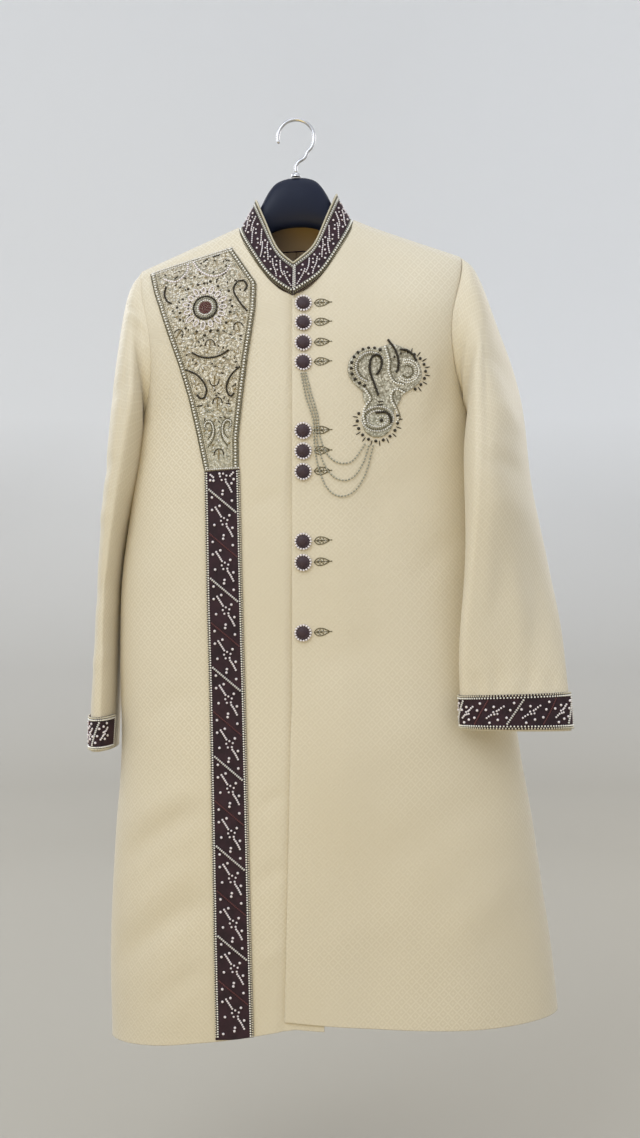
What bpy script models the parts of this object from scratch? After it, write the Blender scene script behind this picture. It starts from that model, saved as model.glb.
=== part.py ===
"""Sherwani coat hung on a broad hanger: panels, sleeves, collar, trims, buttons, chains, hanger and hook.

Metres, +Z up. The origin is the inner crown of the hanger's hook, the coat's front faces -Y and the
wearer's left side is +X. Every piece of cloth is a wall between two computed surfaces.
"""

import math

import bmesh
import bpy
import numpy as np
from mathutils import Vector

# ---------------------------------------------------------------- driving dimensions
CLOTH = 0.0020  # wall of the brocade with its backing
TRIM = 0.0012  # wall of the velvet and embroidered trims
SEAM = 0.0003  # gap left at each seam and between layers
TILT = 0.0577  # rise per metre to the wearer's left: the hanger sits askew on its hook
SHOULDER_SLOPE = 0.40  # fall of the shoulder line per metre of width
SLOPE_PIVOT = 0.079  # distance from the centre at which the levels are true heights
SLOPE_ENDS = -0.36  # below this level the levels are true heights all over
NECK_HALF = 0.077  # half width of the neck opening at the shoulder seam
SHOULDER_LEVEL = -0.139  # height of the shoulder seam at the neck
ARMPIT_LEVEL = -0.400
HEM_LEVEL = -1.209
LIFT_LEVEL = -0.86  # the hem's rise towards the closing edge is felt up to here
CLOSING_LEVEL = -0.261  # lowest point of the neckline, where the fronts start to overlap
BACK_NECK_LEVEL = -0.190
UNDERLAP = 0.046  # how far the under front passes the centre
OVERLIE_TO, FLUSH_FROM = 0.055, 0.110  # x up to which the over front lies on the other, and is flush again
FRONT_SCOOP, BACK_SCOOP = 28, 24  # degrees that the armhole cuts into the front and the back
SCOOP_POWER = 0.6  # a low power makes the armhole's scoop full
SLEEVE_OFFSET = 0.0008  # the sleeve's head stands this far outside the armhole's edge
SLEEVE_SEAM_LEVEL = -0.2922  # where the seams of the two-piece sleeve meet the armhole, in front and behind
SLEEVE_EASE = 0.0005  # each piece stops this far short of the middle of those seams, where the cloth twists
COLLAR_HEIGHT = 0.045
COLLAR_WALL = 0.0024
COLLAR_CENTRE = (0.0, -0.012, 0.0)  # the stand leans towards the vertical line through this point
COLLAR_LEAN = 0.55  # sine of its lean at the sides of the neck
FRONT_UPRIGHT, BACK_UPRIGHT = 0.21, 0.30  # how much less it leans at its ends and at the back
COLLAR_STEP = (0.90, 0.975)  # shares of its length between which its over end steps out
BUTTON_RADIUS = 0.0112
BUTTON_X = 0.0106  # the line of buttons, beside the closing edge
BUTTON_SIDES = 16
CHAIN_DIAMETER = 0.0024
CUFF_BAND = 0.047
BAND_FOOT = 0.965  # the band ends at this share of the sleeve's last stretch

# Sections of the body: level, how far the section reaches to each side, to the front and back, and its
# squareness (the exponent of its curve: 2 is an ellipse, and over the hanger's shoulders it is boxy).
TORSO = np.array(
    [
        # level, left, right, front, back, squareness
        (-0.1390, -0.207, 0.2220, 0.0000, 0.0000, 7.00),
        (-0.1469, -0.207, 0.2220, 0.0145, 0.0130, 7.00),
        (-0.1580, -0.207, 0.2220, 0.0250, 0.0230, 6.50),
        (-0.1800, -0.207, 0.2210, 0.0400, 0.0370, 6.00),
        (-0.2050, -0.206, 0.2200, 0.0530, 0.0490, 5.20),
        (-0.2437, -0.205, 0.2190, 0.0700, 0.0610, 4.20),
        (-0.2922, -0.203, 0.2190, 0.0830, 0.0700, 3.40),
        (-0.3348, -0.200, 0.2200, 0.0890, 0.0750, 2.90),
        (-0.3921, -0.199, 0.2230, 0.0930, 0.0800, 2.45),
        (-0.4300, -0.203, 0.2270, 0.0940, 0.0830, 2.35),
        (-0.5000, -0.216, 0.2360, 0.0955, 0.0860, 2.30),
        (-0.5850, -0.230, 0.2500, 0.0970, 0.0880, 2.30),
        (-0.7000, -0.232, 0.2700, 0.0990, 0.0900, 2.30),
        (-0.8300, -0.232, 0.2950, 0.1010, 0.0920, 2.30),
        (-0.9260, -0.239, 0.3110, 0.1030, 0.0930, 2.30),
        (-1.0160, -0.245, 0.3250, 0.1040, 0.0950, 2.30),
        (-1.1060, -0.248, 0.3395, 0.1050, 0.0960, 2.30),
        (-1.2090, -0.247, 0.3500, 0.1060, 0.0970, 2.30),
    ]
)
NECKLINE = np.array(
    [
        # level, half width of the front neckline
        (-0.1390, NECK_HALF),
        (-0.1570, 0.0735),
        (-0.1790, 0.0640),
        (-0.1980, 0.0545),
        (-0.2134, 0.0465),
        (-0.2296, 0.0375),
        (-0.2437, 0.0260),
        (-0.2525, 0.0165),
        (CLOSING_LEVEL, 0.0010),
    ]
)
BACK_NECKLINE = np.array(
    [
        # level, half width of the back neckline
        (-0.1390, NECK_HALF),
        (-0.1500, 0.0710),
        (-0.1650, 0.0590),
        (-0.1780, 0.0420),
        (-0.1860, 0.0240),
        (BACK_NECK_LEVEL, 0.0000),
    ]
)
CLOSING_EDGE = np.array(
    [
        # level, x of the over front's edge
        (CLOSING_LEVEL, -0.0035),
        (-0.7700, -0.0035),
        (-0.8200, -0.0054),
        (HEM_LEVEL, -0.0128),
    ]
)
UNDER_EDGE = np.array(
    [
        # level, x of the under front's edge
        (CLOSING_LEVEL, 0.0010),
        (-0.2922, UNDERLAP),
        (HEM_LEVEL, 0.0380),
    ]
)
HEM_LIFT = {
    # side: x at which the hem is highest, reach to each side, height
    "over": (-0.0125, 0.30, 0.0310),
    "under": (0.0, 0.22, 0.0205),
}

# Soft folds of the skirt: where each crosses the hem, lean, half width, depth (+ stands out), top level.
FOLDS = [
    # x at hem, lean, width, depth, top
    (-0.185, 0.12, 0.032, 0.0030, -0.80),
    (-0.130, -0.06, 0.024, -0.0025, -0.86),
    (0.090, -0.10, 0.050, -0.0025, -0.84),
    (0.225, 0.14, 0.045, 0.0030, -0.80),
]

# Shoulder embroidery: its two long edges, from its top to its foot.
SHOULDER_PANEL = [
    # outer x, outer z, inner x, inner z
    (-0.1930, -0.2000, -0.0840, -0.1740),
    (-0.1850, -0.2290, -0.0500, -0.2290),
    (-0.1770, -0.2520, -0.0510, -0.2630),
    (-0.1640, -0.2900, -0.0555, -0.2950),
    (-0.1505, -0.3285, -0.0604, -0.3280),
    (-0.1370, -0.3740, -0.0665, -0.3790),
    (-0.1264, -0.4204, -0.0716, -0.4290),
    (-0.1170, -0.4640, -0.0745, -0.4690),
]
VELVET_STRIP = np.array(
    [
        # z, outer x, inner x
        (-0.4705, -0.1162, -0.0703),
        (-0.8290, -0.1087, -0.0615),
        (-1.2040, -0.1005, -0.0520),
    ]
)

# Rings of each sleeve below the armhole: centre, half axis to the arm's top line, half axis to its front.
SLEEVE_LEFT = [
    # cx, cy, cz, ux, uy, uz, vx, vy, vz
    (0.2355, -0.002, -0.3010, 0.0020, 0.000, 0.0960, -0.0120, -0.055, 0.0000),
    (0.2475, -0.004, -0.3285, 0.0090, 0.000, 0.0835, -0.0080, -0.066, 0.0000),
    (0.2575, -0.012, -0.3675, 0.0160, 0.000, 0.0620, -0.0200, -0.074, 0.0000),
    (0.2670, -0.026, -0.4200, 0.0290, -0.006, 0.0350, -0.0310, -0.079, 0.0000),
    (0.2665, -0.046, -0.5000, 0.0310, -0.018, 0.0100, -0.0330, -0.079, 0.0000),
    (0.2760, -0.062, -0.6000, 0.0220, -0.022, 0.0030, -0.0520, -0.056, 0.0000),
    (0.2810, -0.079, -0.6900, 0.0100, -0.021, 0.0000, -0.0650, -0.029, 0.0000),
    (0.2825, -0.089, -0.7600, 0.0030, -0.018, 0.0000, -0.0685, -0.012, 0.0020),
    (0.2850, -0.096, -0.8245, 0.0000, -0.016, 0.0000, -0.0700, -0.004, 0.0050),
]
SLEEVE_RIGHT = [
    # cx, cy, cz, ux, uy, uz, vx, vy, vz
    (-0.2200, 0.002, -0.2990, -0.0020, 0.000, 0.0945, 0.0100, -0.055, 0.0000),
    (-0.2225, 0.004, -0.3325, -0.0120, 0.000, 0.0825, 0.0060, -0.066, 0.0000),
    (-0.2275, 0.008, -0.3800, -0.0160, 0.000, 0.0600, 0.0030, -0.073, 0.0000),
    (-0.2340, 0.014, -0.4450, -0.0180, 0.000, 0.0300, 0.0000, -0.076, 0.0000),
    (-0.2440, 0.020, -0.5200, -0.0165, 0.000, 0.0080, 0.0000, -0.076, 0.0000),
    (-0.2530, 0.022, -0.6100, -0.0145, 0.000, 0.0000, -0.0010, -0.075, 0.0000),
    (-0.2560, 0.021, -0.7100, -0.0150, 0.000, 0.0000, -0.0020, -0.073, 0.0000),
    (-0.2590, 0.019, -0.7740, -0.0150, 0.000, 0.0000, -0.0010, -0.071, 0.0000),
    (-0.2605, 0.018, -0.8285, -0.0145, 0.000, 0.0000, 0.0000, -0.070, 0.0020),
]
SLEEVE_STEPS = 2  # rows of mesh between two rings
BAND_FROM, BAND_TO = -90, 150  # degrees round the sleeve, from its top line towards its front

BUTTON_LEVELS = (-0.2607, -0.2862, -0.3127, -0.3383, -0.4268, -0.4528, -0.4790, -0.5680, -0.5950, -0.6845)

BUTTON_PROFILE = [
    # radius, height
    (0.0000, 0.0000),
    (0.0098, 0.0000),
    (BUTTON_RADIUS, 0.0012),
    (0.0102, 0.0030),
    (0.0082, 0.0032),
    (0.0058, 0.0050),
    (0.0000, 0.0058),
]

# Discs whose outline, taken together, is the beaded double paisley on the chest.
PAISLEY_CENTRE = (0.112, -0.384)
PAISLEY_RINGS = (0.12, 0.55, 1.0)  # rings of its mesh, as shares of the way to the rim
PAISLEY_DISCS = [
    # x, z, radius
    (0.0933, -0.3505, 0.0265),
    (0.1454, -0.3614, 0.0185),
    (0.1120, -0.3840, 0.0250),
    (0.1063, -0.4190, 0.0210),
]

# Bead chains: points from the placket to the foot of the paisley.
CHAINS = {
    "chain_short": [
        (0.0140, -0.3515),
        (0.0205, -0.3780),
        (0.0290, -0.4080),
        (0.0305, -0.4280),
        (0.0345, -0.4440),
        (0.0405, -0.4570),
        (0.0480, -0.4655),
        (0.0565, -0.4700),
        (0.0655, -0.4710),
        (0.0740, -0.4680),
        (0.0825, -0.4580),
        (0.0900, -0.4470),
    ],
    "chain_middle": [
        (0.0110, -0.3520),
        (0.0172, -0.3800),
        (0.0261, -0.4100),
        (0.0272, -0.4300),
        (0.0300, -0.4500),
        (0.0370, -0.4700),
        (0.0450, -0.4830),
        (0.0555, -0.4910),
        (0.0670, -0.4925),
        (0.0780, -0.4860),
        (0.0880, -0.4700),
        (0.0955, -0.4475),
    ],
    "chain_long": [
        (0.0080, -0.3520),
        (0.0138, -0.3820),
        (0.0232, -0.4120),
        (0.0241, -0.4320),
        (0.0262, -0.4550),
        (0.0305, -0.4760),
        (0.0390, -0.4980),
        (0.0510, -0.5105),
        (0.0650, -0.5125),
        (0.0790, -0.5040),
        (0.0915, -0.4830),
        (0.1010, -0.4475),
    ],
}

# Hanger body: sections from the middle out, all mirrored.
HANGER = [
    # x, top, bottom, half thickness
    (0.0000, -0.0760, -0.1430, 0.0120),
    (0.0150, -0.0775, -0.1440, 0.0120),
    (0.0300, -0.0850, -0.1480, 0.0115),
    (0.0440, -0.1060, -0.1560, 0.0105),
    (0.0540, -0.1290, -0.1650, 0.0105),
    (0.0640, -0.1420, -0.1710, 0.0110),
    (0.0710, -0.1458, -0.1750, 0.0115),
    (0.0800, -0.1462, -0.1790, 0.0120),
    (0.1100, -0.1562, -0.1880, 0.0120),
    (0.1500, -0.1722, -0.2020, 0.0125),
    (0.1850, -0.1862, -0.2130, 0.0115),
    (0.1960, -0.1915, -0.2150, 0.0080),
]
HANGER_SIDES = 16
HOOK_WIRE = 0.0024  # radius
HOOK_BEND = 0.022  # inner radius of the bend
HOOK_ARC = (-50, 200)  # degrees that the bend runs through
HOOK_LEAD = [
    # x, z of the wire between the ferrule and the bend
    (0.0000, -0.0640),
    (0.0000, -0.0600),
    (0.0035, -0.0545),
    (0.0115, -0.0490),
]
FERRULE_TOP = -0.0700
FERRULE_HEIGHT, FERRULE_FOOT_RADIUS, FERRULE_TOP_RADIUS = 0.0052, 0.0070, 0.0050

# Levels of the mesh rows. The rows down to the armpit are shared by the panels and the sleeve heads.
ARM_ROWS = [SHOULDER_LEVEL, -0.1469, -0.1580, -0.1700, -0.1815, BACK_NECK_LEVEL, -0.2130, -0.2400]
ARM_ROWS += [CLOSING_LEVEL, SLEEVE_SEAM_LEVEL, -0.3348, -0.3695, -0.3921, ARMPIT_LEVEL]
SKIRT_ROWS = [-0.430, -0.470, -0.520, -0.585, -0.650, -0.720, -0.790, -0.860, -0.930, -1.000, -1.070, -1.140]
SKIRT_ROWS += [HEM_LEVEL]
CLOSING_ROW = ARM_ROWS.index(CLOSING_LEVEL)
BACK_NECK_ROW = ARM_ROWS.index(BACK_NECK_LEVEL)
ARMPIT_ROW = ARM_ROWS.index(ARMPIT_LEVEL)
SLEEVE_SEAM_ROW = ARM_ROWS.index(SLEEVE_SEAM_LEVEL)
FRONT_COLUMNS, BACK_COLUMNS, COLLAR_COLUMNS, BAND_COLUMNS = 11, 9, 37, 17
SHOULDER_PANEL_COLUMNS, STRIP_COLUMNS, PAISLEY_SIDES = 9, 4, 36
TRIM_ROW_GAP = 0.2  # a trim's own end row is at least this share of a row from the panel's next one

IVORY = (0.80, 0.70, 0.48)
MAROON = (0.045, 0.010, 0.018)
SILVER = (0.62, 0.60, 0.55)
GOLD = (0.45, 0.36, 0.20)
NAVY = (0.010, 0.014, 0.040)
STEEL = (0.60, 0.60, 0.62)


# ---------------------------------------------------------------- helpers
def smooth_through(keys, values, at):
    """Smooth curve through a table's column: a cubic between each two rows, with the rows' own slopes."""
    order = np.argsort(keys)
    keys = np.asarray(keys, float)[order]
    values = np.asarray(values, float)[order]
    slopes = np.gradient(values, keys)
    at = np.clip(at, keys[0], keys[-1])
    i = np.clip(np.searchsorted(keys, at) - 1, 0, len(keys) - 2)
    span = keys[i + 1] - keys[i]
    t = (at - keys[i]) / span
    start = values[i] * (1 + 2 * t) * (1 - t) ** 2 + slopes[i] * span * t * (1 - t) ** 2
    end = values[i + 1] * t * t * (3 - 2 * t) + slopes[i + 1] * span * t * t * (t - 1)
    return start + end


def fade(value, start, end):
    """0 at start, 1 at end, smooth between."""
    t = np.clip((value - start) / (end - start), 0, 1)
    return t * t * (3 - 2 * t)


def section(level):
    """Centre, half width, front depth, back depth and squareness of the body at a level."""
    left, right, front, back, square = (smooth_through(TORSO[:, 0], TORSO[:, c], level) for c in range(1, 6))
    return (left + right) / 2, (right - left) / 2, front, back, square


def hem_lift(x, side):
    """How much the hem rises towards the closing edge."""
    if side not in HEM_LIFT:
        return np.zeros(x.shape)
    highest, reach, height = HEM_LIFT[side]
    return height * (1 - np.clip(np.abs(x - highest) / reach, 0, 1)) ** 1.5


def fold_depth(x, level):
    """How far the soft folds stand out from the section."""
    total = np.zeros(np.broadcast(x, level).shape)
    for at_hem, lean, width, depth, top in FOLDS:
        middle = at_hem + lean * (level - HEM_LEVEL)
        total += depth * np.exp(-(((x - middle) / width) ** 2)) * fade(level, top, HEM_LEVEL)
    return total


def torso(angle, level, side):
    """Point of the body's outer surface: angle in radians from the front centre, + towards +X."""
    angle, level = np.broadcast_arrays(np.asarray(angle, float), np.asarray(level, float))
    centre, half, front, back, square = section(level)
    power = 2 / square
    across = np.sign(np.sin(angle)) * np.abs(np.sin(angle)) ** power
    along = np.cos(angle)
    x = centre + half * across
    depth = np.where(along >= 0, front, back)
    away = np.abs(along) ** power
    y = -np.sign(along) * away * (depth + fold_depth(x, level) * away)
    slope = SHOULDER_SLOPE * (1 - fade(level, SHOULDER_LEVEL, SLOPE_ENDS))
    z = level - slope * (np.abs(x) - SLOPE_PIVOT)
    z = z + hem_lift(x, side) * fade(level, LIFT_LEVEL, HEM_LEVEL)
    return np.stack([x, y, z], axis=-1)


def angle_at(x, level, front=True):
    """The angle at which the body's section has this x."""
    centre, half, _, _, square = section(level)
    share = np.clip((x - centre) / half, -1, 1)
    angle = np.arcsin(np.sign(share) * np.abs(share) ** (square / 2))
    return angle if front else math.pi - angle


def armhole_angle(level, front=True):
    """Radians from the front centre to a panel's outer edge: the armhole, or the side seam below it."""
    share = np.clip((SHOULDER_LEVEL - level) / (SHOULDER_LEVEL - ARMPIT_LEVEL), 0, 1)
    scoop = np.sin(math.pi * share) ** SCOOP_POWER
    turn = -math.radians(FRONT_SCOOP) if front else math.radians(BACK_SCOOP)
    return math.pi / 2 + turn * scoop


def normals_of(points, seam_rows=(), seam_columns=()):
    """Outward normals of a grid of points; on the seams they have no Y part, so that neighbours agree."""
    down = np.gradient(points, axis=0)
    along = np.gradient(points, axis=1)
    normal = np.cross(down, along)
    for row, col_from in seam_rows:
        normal[row, col_from:, 1] = 0
    for col, row_from in seam_columns:
        normal[row_from:, col, 1] = 0
    length = np.linalg.norm(normal, axis=-1, keepdims=True)
    return normal / np.maximum(length, 1e-12)


def hung(points):
    """Places points: the whole coat leans with its hanger."""
    points = np.array(points, float)
    points[..., 2] += TILT * points[..., 0]
    return points


def material(name, colour, roughness, metallic=0.0):
    made = bpy.data.materials.get(name) or bpy.data.materials.new(name)
    made.use_nodes = True
    shader = made.node_tree.nodes["Principled BSDF"]
    shader.inputs["Base Color"].default_value = (*colour, 1)
    shader.inputs["Roughness"].default_value = roughness
    shader.inputs["Metallic"].default_value = metallic
    return made


def new_object(name, bm, look, smooth=True):
    bmesh.ops.recalc_face_normals(bm, faces=bm.faces)
    mesh = bpy.data.meshes.new(name)
    bm.to_mesh(mesh)
    bm.free()
    mesh.materials.append(look)
    if smooth:
        mesh.shade_smooth()
        mesh.set_sharp_from_angle(angle=math.radians(50))
    made = bpy.data.objects.new(name, mesh)
    bpy.context.scene.collection.objects.link(made)
    return made


def wall(name, outer, inner, look):
    """A cloth wall: a grid of outer points thickened to the matching grid of inner points."""
    rows, cols = outer.shape[:2]
    outer, inner = hung(outer).reshape(-1, 3), hung(inner).reshape(-1, 3)
    bm = bmesh.new()
    cell = bm.verts.layers.int.new("cell")
    made = bmesh.ops.create_grid(bm, x_segments=cols - 1, y_segments=rows - 1, size=1)["verts"]
    made.sort(key=lambda v: (round(v.co.y, 5), round(v.co.x, 5)))
    for number, vert in enumerate(made):
        vert[cell] = number
        vert.co = outer[number]
    made = bmesh.ops.extrude_face_region(bm, geom=bm.faces[:])
    for item in made["geom"]:
        if isinstance(item, bmesh.types.BMVert):
            item.co = inner[item[cell]]
    return new_object(name, bm, look)


def inward(outer, thickness, **seams):
    return outer - normals_of(outer, **seams) * thickness


def row_of(panel, x, z):
    """Row position, with its fraction, at which a panel's mesh passes this x and z."""
    grid = panel[0]
    heights = np.array([np.interp(x, row[:, 0], row[:, 2]) for row in grid])
    return float(np.interp(-z, -heights, np.arange(len(heights))))


def at_row(panel, x, position, out):
    """Point of a panel's own faceted surface, moved out along its normal."""
    grid, normals = panel
    upper = min(int(position), len(grid) - 2)
    share = position - upper
    found = []
    for values in (grid, normals):
        ends = [
            np.array([np.interp(x, grid[row][:, 0], values[row][:, axis]) for axis in range(3)])
            for row in (upper, upper + 1)
        ]
        found.append(ends[0] * (1 - share) + ends[1] * share)
    point, normal = found
    return point + normal / np.linalg.norm(normal) * out


def on_panel(panel, x, z, out):
    x, z = np.broadcast_arrays(np.asarray(x, float), np.asarray(z, float))
    made = [at_row(panel, a, row_of(panel, a, b), out) for a, b in zip(x.ravel(), z.ravel())]
    return np.array(made).reshape(*x.shape, 3)


# ---------------------------------------------------------------- body panels
def even_angles(start, end, level, side, count):
    """Angles that divide one row of a panel into equal lengths of cloth."""
    dense = np.linspace(start, end, 90)
    line = torso(dense, level, side)
    run = np.concatenate([[0], np.cumsum(np.linalg.norm(np.diff(line, axis=0), axis=1))])
    return np.interp(np.linspace(0, run[-1], count), run, dense)


def half_panel(side, direction, columns):
    """Grid of outer points of half a body, from its inner edge to its side seam."""
    front = side != "back"
    rows = []
    for level in ARM_ROWS + SKIRT_ROWS:
        if level > (CLOSING_LEVEL if front else BACK_NECK_LEVEL):
            table = NECKLINE if front else BACK_NECKLINE
            inner_x = direction * smooth_through(table[:, 0], table[:, 1], level)
        elif side == "over":
            inner_x = np.interp(-level, -CLOSING_EDGE[:, 0], CLOSING_EDGE[:, 1])
        elif side == "under":
            inner_x = np.interp(-level, -UNDER_EDGE[:, 0], UNDER_EDGE[:, 1])
        else:
            inner_x = 0.0
        start = angle_at(inner_x, level, front)
        end = direction * armhole_angle(level, front)
        if not front and direction < 0:
            end = 2 * math.pi - armhole_angle(level, False)
        rows.append(torso(even_angles(start, end, level, side, columns), level, side))
    grid = np.array(rows)
    if direction < 0 and front or direction > 0 and not front:
        grid = grid[:, ::-1]
    return grid


def lifted(points, amount):
    """The over front lies outside the under front where they overlap, and meets the side seam flush."""
    away = 1 - fade(points[..., 0], OVERLIE_TO, FLUSH_FROM)
    normal = normals_of(points)
    return points + normal * (amount * away)[..., None]


def body_panels(look):
    """Builds both fronts and the back, and returns the outer grids that the other pieces are set on."""
    over = lifted(half_panel("over", 1, FRONT_COLUMNS), CLOTH + 2 * SEAM)
    over_in = inward(over, CLOTH, seam_rows=[(0, 0)], seam_columns=[(-1, ARMPIT_ROW)])
    under = half_panel("under", -1, FRONT_COLUMNS)
    under_in = inward(under, CLOTH, seam_rows=[(0, 0)], seam_columns=[(0, ARMPIT_ROW)])
    left = half_panel("back", 1, BACK_COLUMNS)
    right = half_panel("back", -1, BACK_COLUMNS)
    left_in = inward(left, CLOTH, seam_rows=[(0, 0)], seam_columns=[(0, ARMPIT_ROW)])
    right_in = inward(right, CLOTH, seam_rows=[(0, 0)], seam_columns=[(-1, ARMPIT_ROW)])
    middle = (left_in[BACK_NECK_ROW:, -1] + right_in[BACK_NECK_ROW:, 0]) / 2
    left_in[BACK_NECK_ROW:, -1] = middle
    right_in[BACK_NECK_ROW:, 0] = middle
    for grid in (left, left_in):
        grid[BACK_NECK_ROW:, -1, 0] += SEAM / 2
    for grid in (right, right_in):
        grid[BACK_NECK_ROW:, 0, 0] -= SEAM / 2
    shift = np.array([0, SEAM / 2, 0])
    wall("front_left", over - shift, over_in - shift, look)
    wall("front_right", under - shift, under_in - shift, look)
    wall("back_left", left + shift, left_in + shift, look)
    wall("back_right", right + shift, right_in + shift, look)
    return (over - shift, normals_of(over)), (under - shift, normals_of(under)), left + shift, right + shift


# ---------------------------------------------------------------- sleeves
def ring_points(row, angles):
    centre, top, front = np.array(row[0:3]), np.array(row[3:6]), np.array(row[6:9])
    return centre + np.cos(angles)[:, None] * top + np.sin(angles)[:, None] * front


def sleeve_grid(table, direction, front_edge, back_edge):
    """Rings from the armhole's own edge points down to the cuff, with rows between them."""
    rows = len(ARM_ROWS)
    levels = np.array(ARM_ROWS)
    share = (SHOULDER_LEVEL - levels) / (SHOULDER_LEVEL - ARMPIT_LEVEL)
    front_angles = np.arccos(1 - 2 * share)
    angles = np.concatenate([front_angles, 2 * math.pi - front_angles[-2:0:-1]])
    loop = np.concatenate([front_edge[:rows], back_edge[1 : rows - 1][::-1]])
    loop = loop + np.array([direction * SLEEVE_OFFSET, 0, 0])
    loop[0, 1] = loop[rows - 1, 1] = 0
    rings = [loop] + [ring_points(row, angles) for row in table]
    keys = np.arange(len(rings), dtype=float)
    at = np.linspace(0, len(rings) - 1, (len(rings) - 1) * SLEEVE_STEPS + 1)
    stack = np.array(rings)
    grid = np.empty((len(at), len(angles), 3))
    for column in range(len(angles)):
        for axis in range(3):
            grid[:, column, axis] = smooth_through(keys, stack[:, column, axis], at)
    return grid


def tube_inner(grid, thickness):
    """Inner wall of a tube of rings: normals are taken round the ring, closed on itself."""
    wrapped = np.concatenate([grid[:, -1:], grid, grid[:, :1]], axis=1)
    along = np.gradient(wrapped, axis=1)[:, 1:-1]
    down = np.gradient(grid, axis=0)
    normal = np.cross(along, down)
    normal /= np.linalg.norm(normal, axis=-1, keepdims=True)
    outwards = grid - grid.mean(axis=1, keepdims=True)
    if (normal * outwards).sum() < 0:
        normal = -normal
    centre = grid[0].mean(axis=0)
    inwards = centre - grid[0]
    inwards[:, 0] = 0
    normal[0] = -inwards / np.linalg.norm(inwards, axis=-1, keepdims=True)
    return grid - normal * thickness


def drawn_in(grid):
    """Shift that draws both edges of a grid in from their seams, along the cloth."""
    shift = np.zeros(grid.shape)
    for edge, next_in in ((0, 1), (-1, -2)):
        along = grid[:, next_in] - grid[:, edge]
        shift[:, edge] = along / np.linalg.norm(along, axis=-1, keepdims=True) * SLEEVE_EASE
    return shift


def sleeve(side, table, direction, front_edge, back_edge, look):
    """Two pieces, as a coat's sleeve is cut: the top sleeve over the arm and the under sleeve beneath it."""
    grid = sleeve_grid(table, direction, front_edge, back_edge)
    inner = tube_inner(grid, CLOTH)
    columns = grid.shape[1]
    hind_seam = columns - SLEEVE_SEAM_ROW
    top = list(range(hind_seam, columns)) + list(range(SLEEVE_SEAM_ROW + 1))
    under = list(range(SLEEVE_SEAM_ROW, hind_seam + 1))
    for name, chosen in (("top_sleeve_", top), ("under_sleeve_", under)):
        shift = drawn_in(grid[:, chosen])
        wall(name + side, grid[:, chosen] + shift, inner[:, chosen] + shift, look)


def cuff_band(name, table, look):
    """A velvet band on the foot of the sleeve, from its hind fold over the outer face."""
    angles = np.radians(np.linspace(BAND_FROM, BAND_TO, BAND_COLUMNS))
    top, foot = np.array(table[-2]), np.array(table[-1])
    share_top = 1 - CUFF_BAND / np.linalg.norm(foot[:3] - top[:3])
    shares = np.linspace(share_top, BAND_FOOT, 3)
    grid = np.array([ring_points(top + (foot - top) * share, angles) for share in shares])
    centre = grid.mean(axis=1, keepdims=True)
    across = np.gradient(grid, axis=1)
    down = np.gradient(grid, axis=0)
    normal = np.cross(across, down)
    normal /= np.linalg.norm(normal, axis=-1, keepdims=True)
    if (normal * (grid - centre)).sum() < 0:
        normal = -normal
    inner = grid + normal * 3 * SEAM
    wall(name, inner + normal * TRIM, inner, look)


# ---------------------------------------------------------------- collar
def collar_base(over, under, left, right):
    """The neckline, from the under front's closing edge round the back to the over front's."""
    under_side = under[: CLOSING_ROW + 1, -1][::-1]
    over_side = over[: CLOSING_ROW + 1, 0]
    right_back = right[1 : BACK_NECK_ROW + 1, 0]
    left_back = left[1:BACK_NECK_ROW, -1][::-1]
    return np.concatenate([under_side, right_back, left_back, over_side])


def collar(base, look):
    """A stand that rises from the neckline and leans in, its over end lying on its under end."""
    run = np.concatenate([[0], np.cumsum(np.linalg.norm(np.diff(base, axis=0), axis=1))])
    at = np.linspace(0, run[-1], COLLAR_COLUMNS)
    line = np.stack([np.interp(at, run, base[:, axis]) for axis in range(3)], axis=-1)
    for _ in range(2):
        line[1:-1] = (line[:-2] + 2 * line[1:-1] + line[2:]) / 4
    share = at / run[-1]
    ends = np.abs(2 * share - 1)
    inwards = np.array(COLLAR_CENTRE) - line
    inwards[:, 2] = 0
    inwards /= np.linalg.norm(inwards, axis=1, keepdims=True)
    lean = COLLAR_LEAN - FRONT_UPRIGHT * fade(ends, 0.55, 1.0) - BACK_UPRIGHT * fade(1 - ends, 0.45, 1.0)
    rise = inwards * lean[:, None] + np.array([0, 0, 1]) * np.sqrt(1 - lean**2)[:, None]
    along = np.gradient(line, axis=0)
    out = np.cross(rise, along)
    out /= np.linalg.norm(out, axis=1, keepdims=True)
    if (out * -inwards).sum() < 0:
        out = -out
    step = (COLLAR_WALL + 2 * SEAM) * fade(share, *COLLAR_STEP)
    line = line + out * step[:, None]
    heights = np.linspace(2 * SEAM, COLLAR_HEIGHT, 4)
    outer = np.array([line + rise * h for h in heights])
    inner = outer - out * COLLAR_WALL
    wall("collar", outer, inner, look)


# ---------------------------------------------------------------- trims
def edge_x(panel, heights, edge, position):
    """Where an edge, given by its x at some heights, crosses a row of the panel."""
    x = edge[0]
    for _ in range(6):
        z = at_row(panel, x, position, 0)[2]
        x = float(np.interp(-z, -np.asarray(heights), edge))
    return x


def between(first, second, share):
    return first * (1 - share) + second * share


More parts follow.
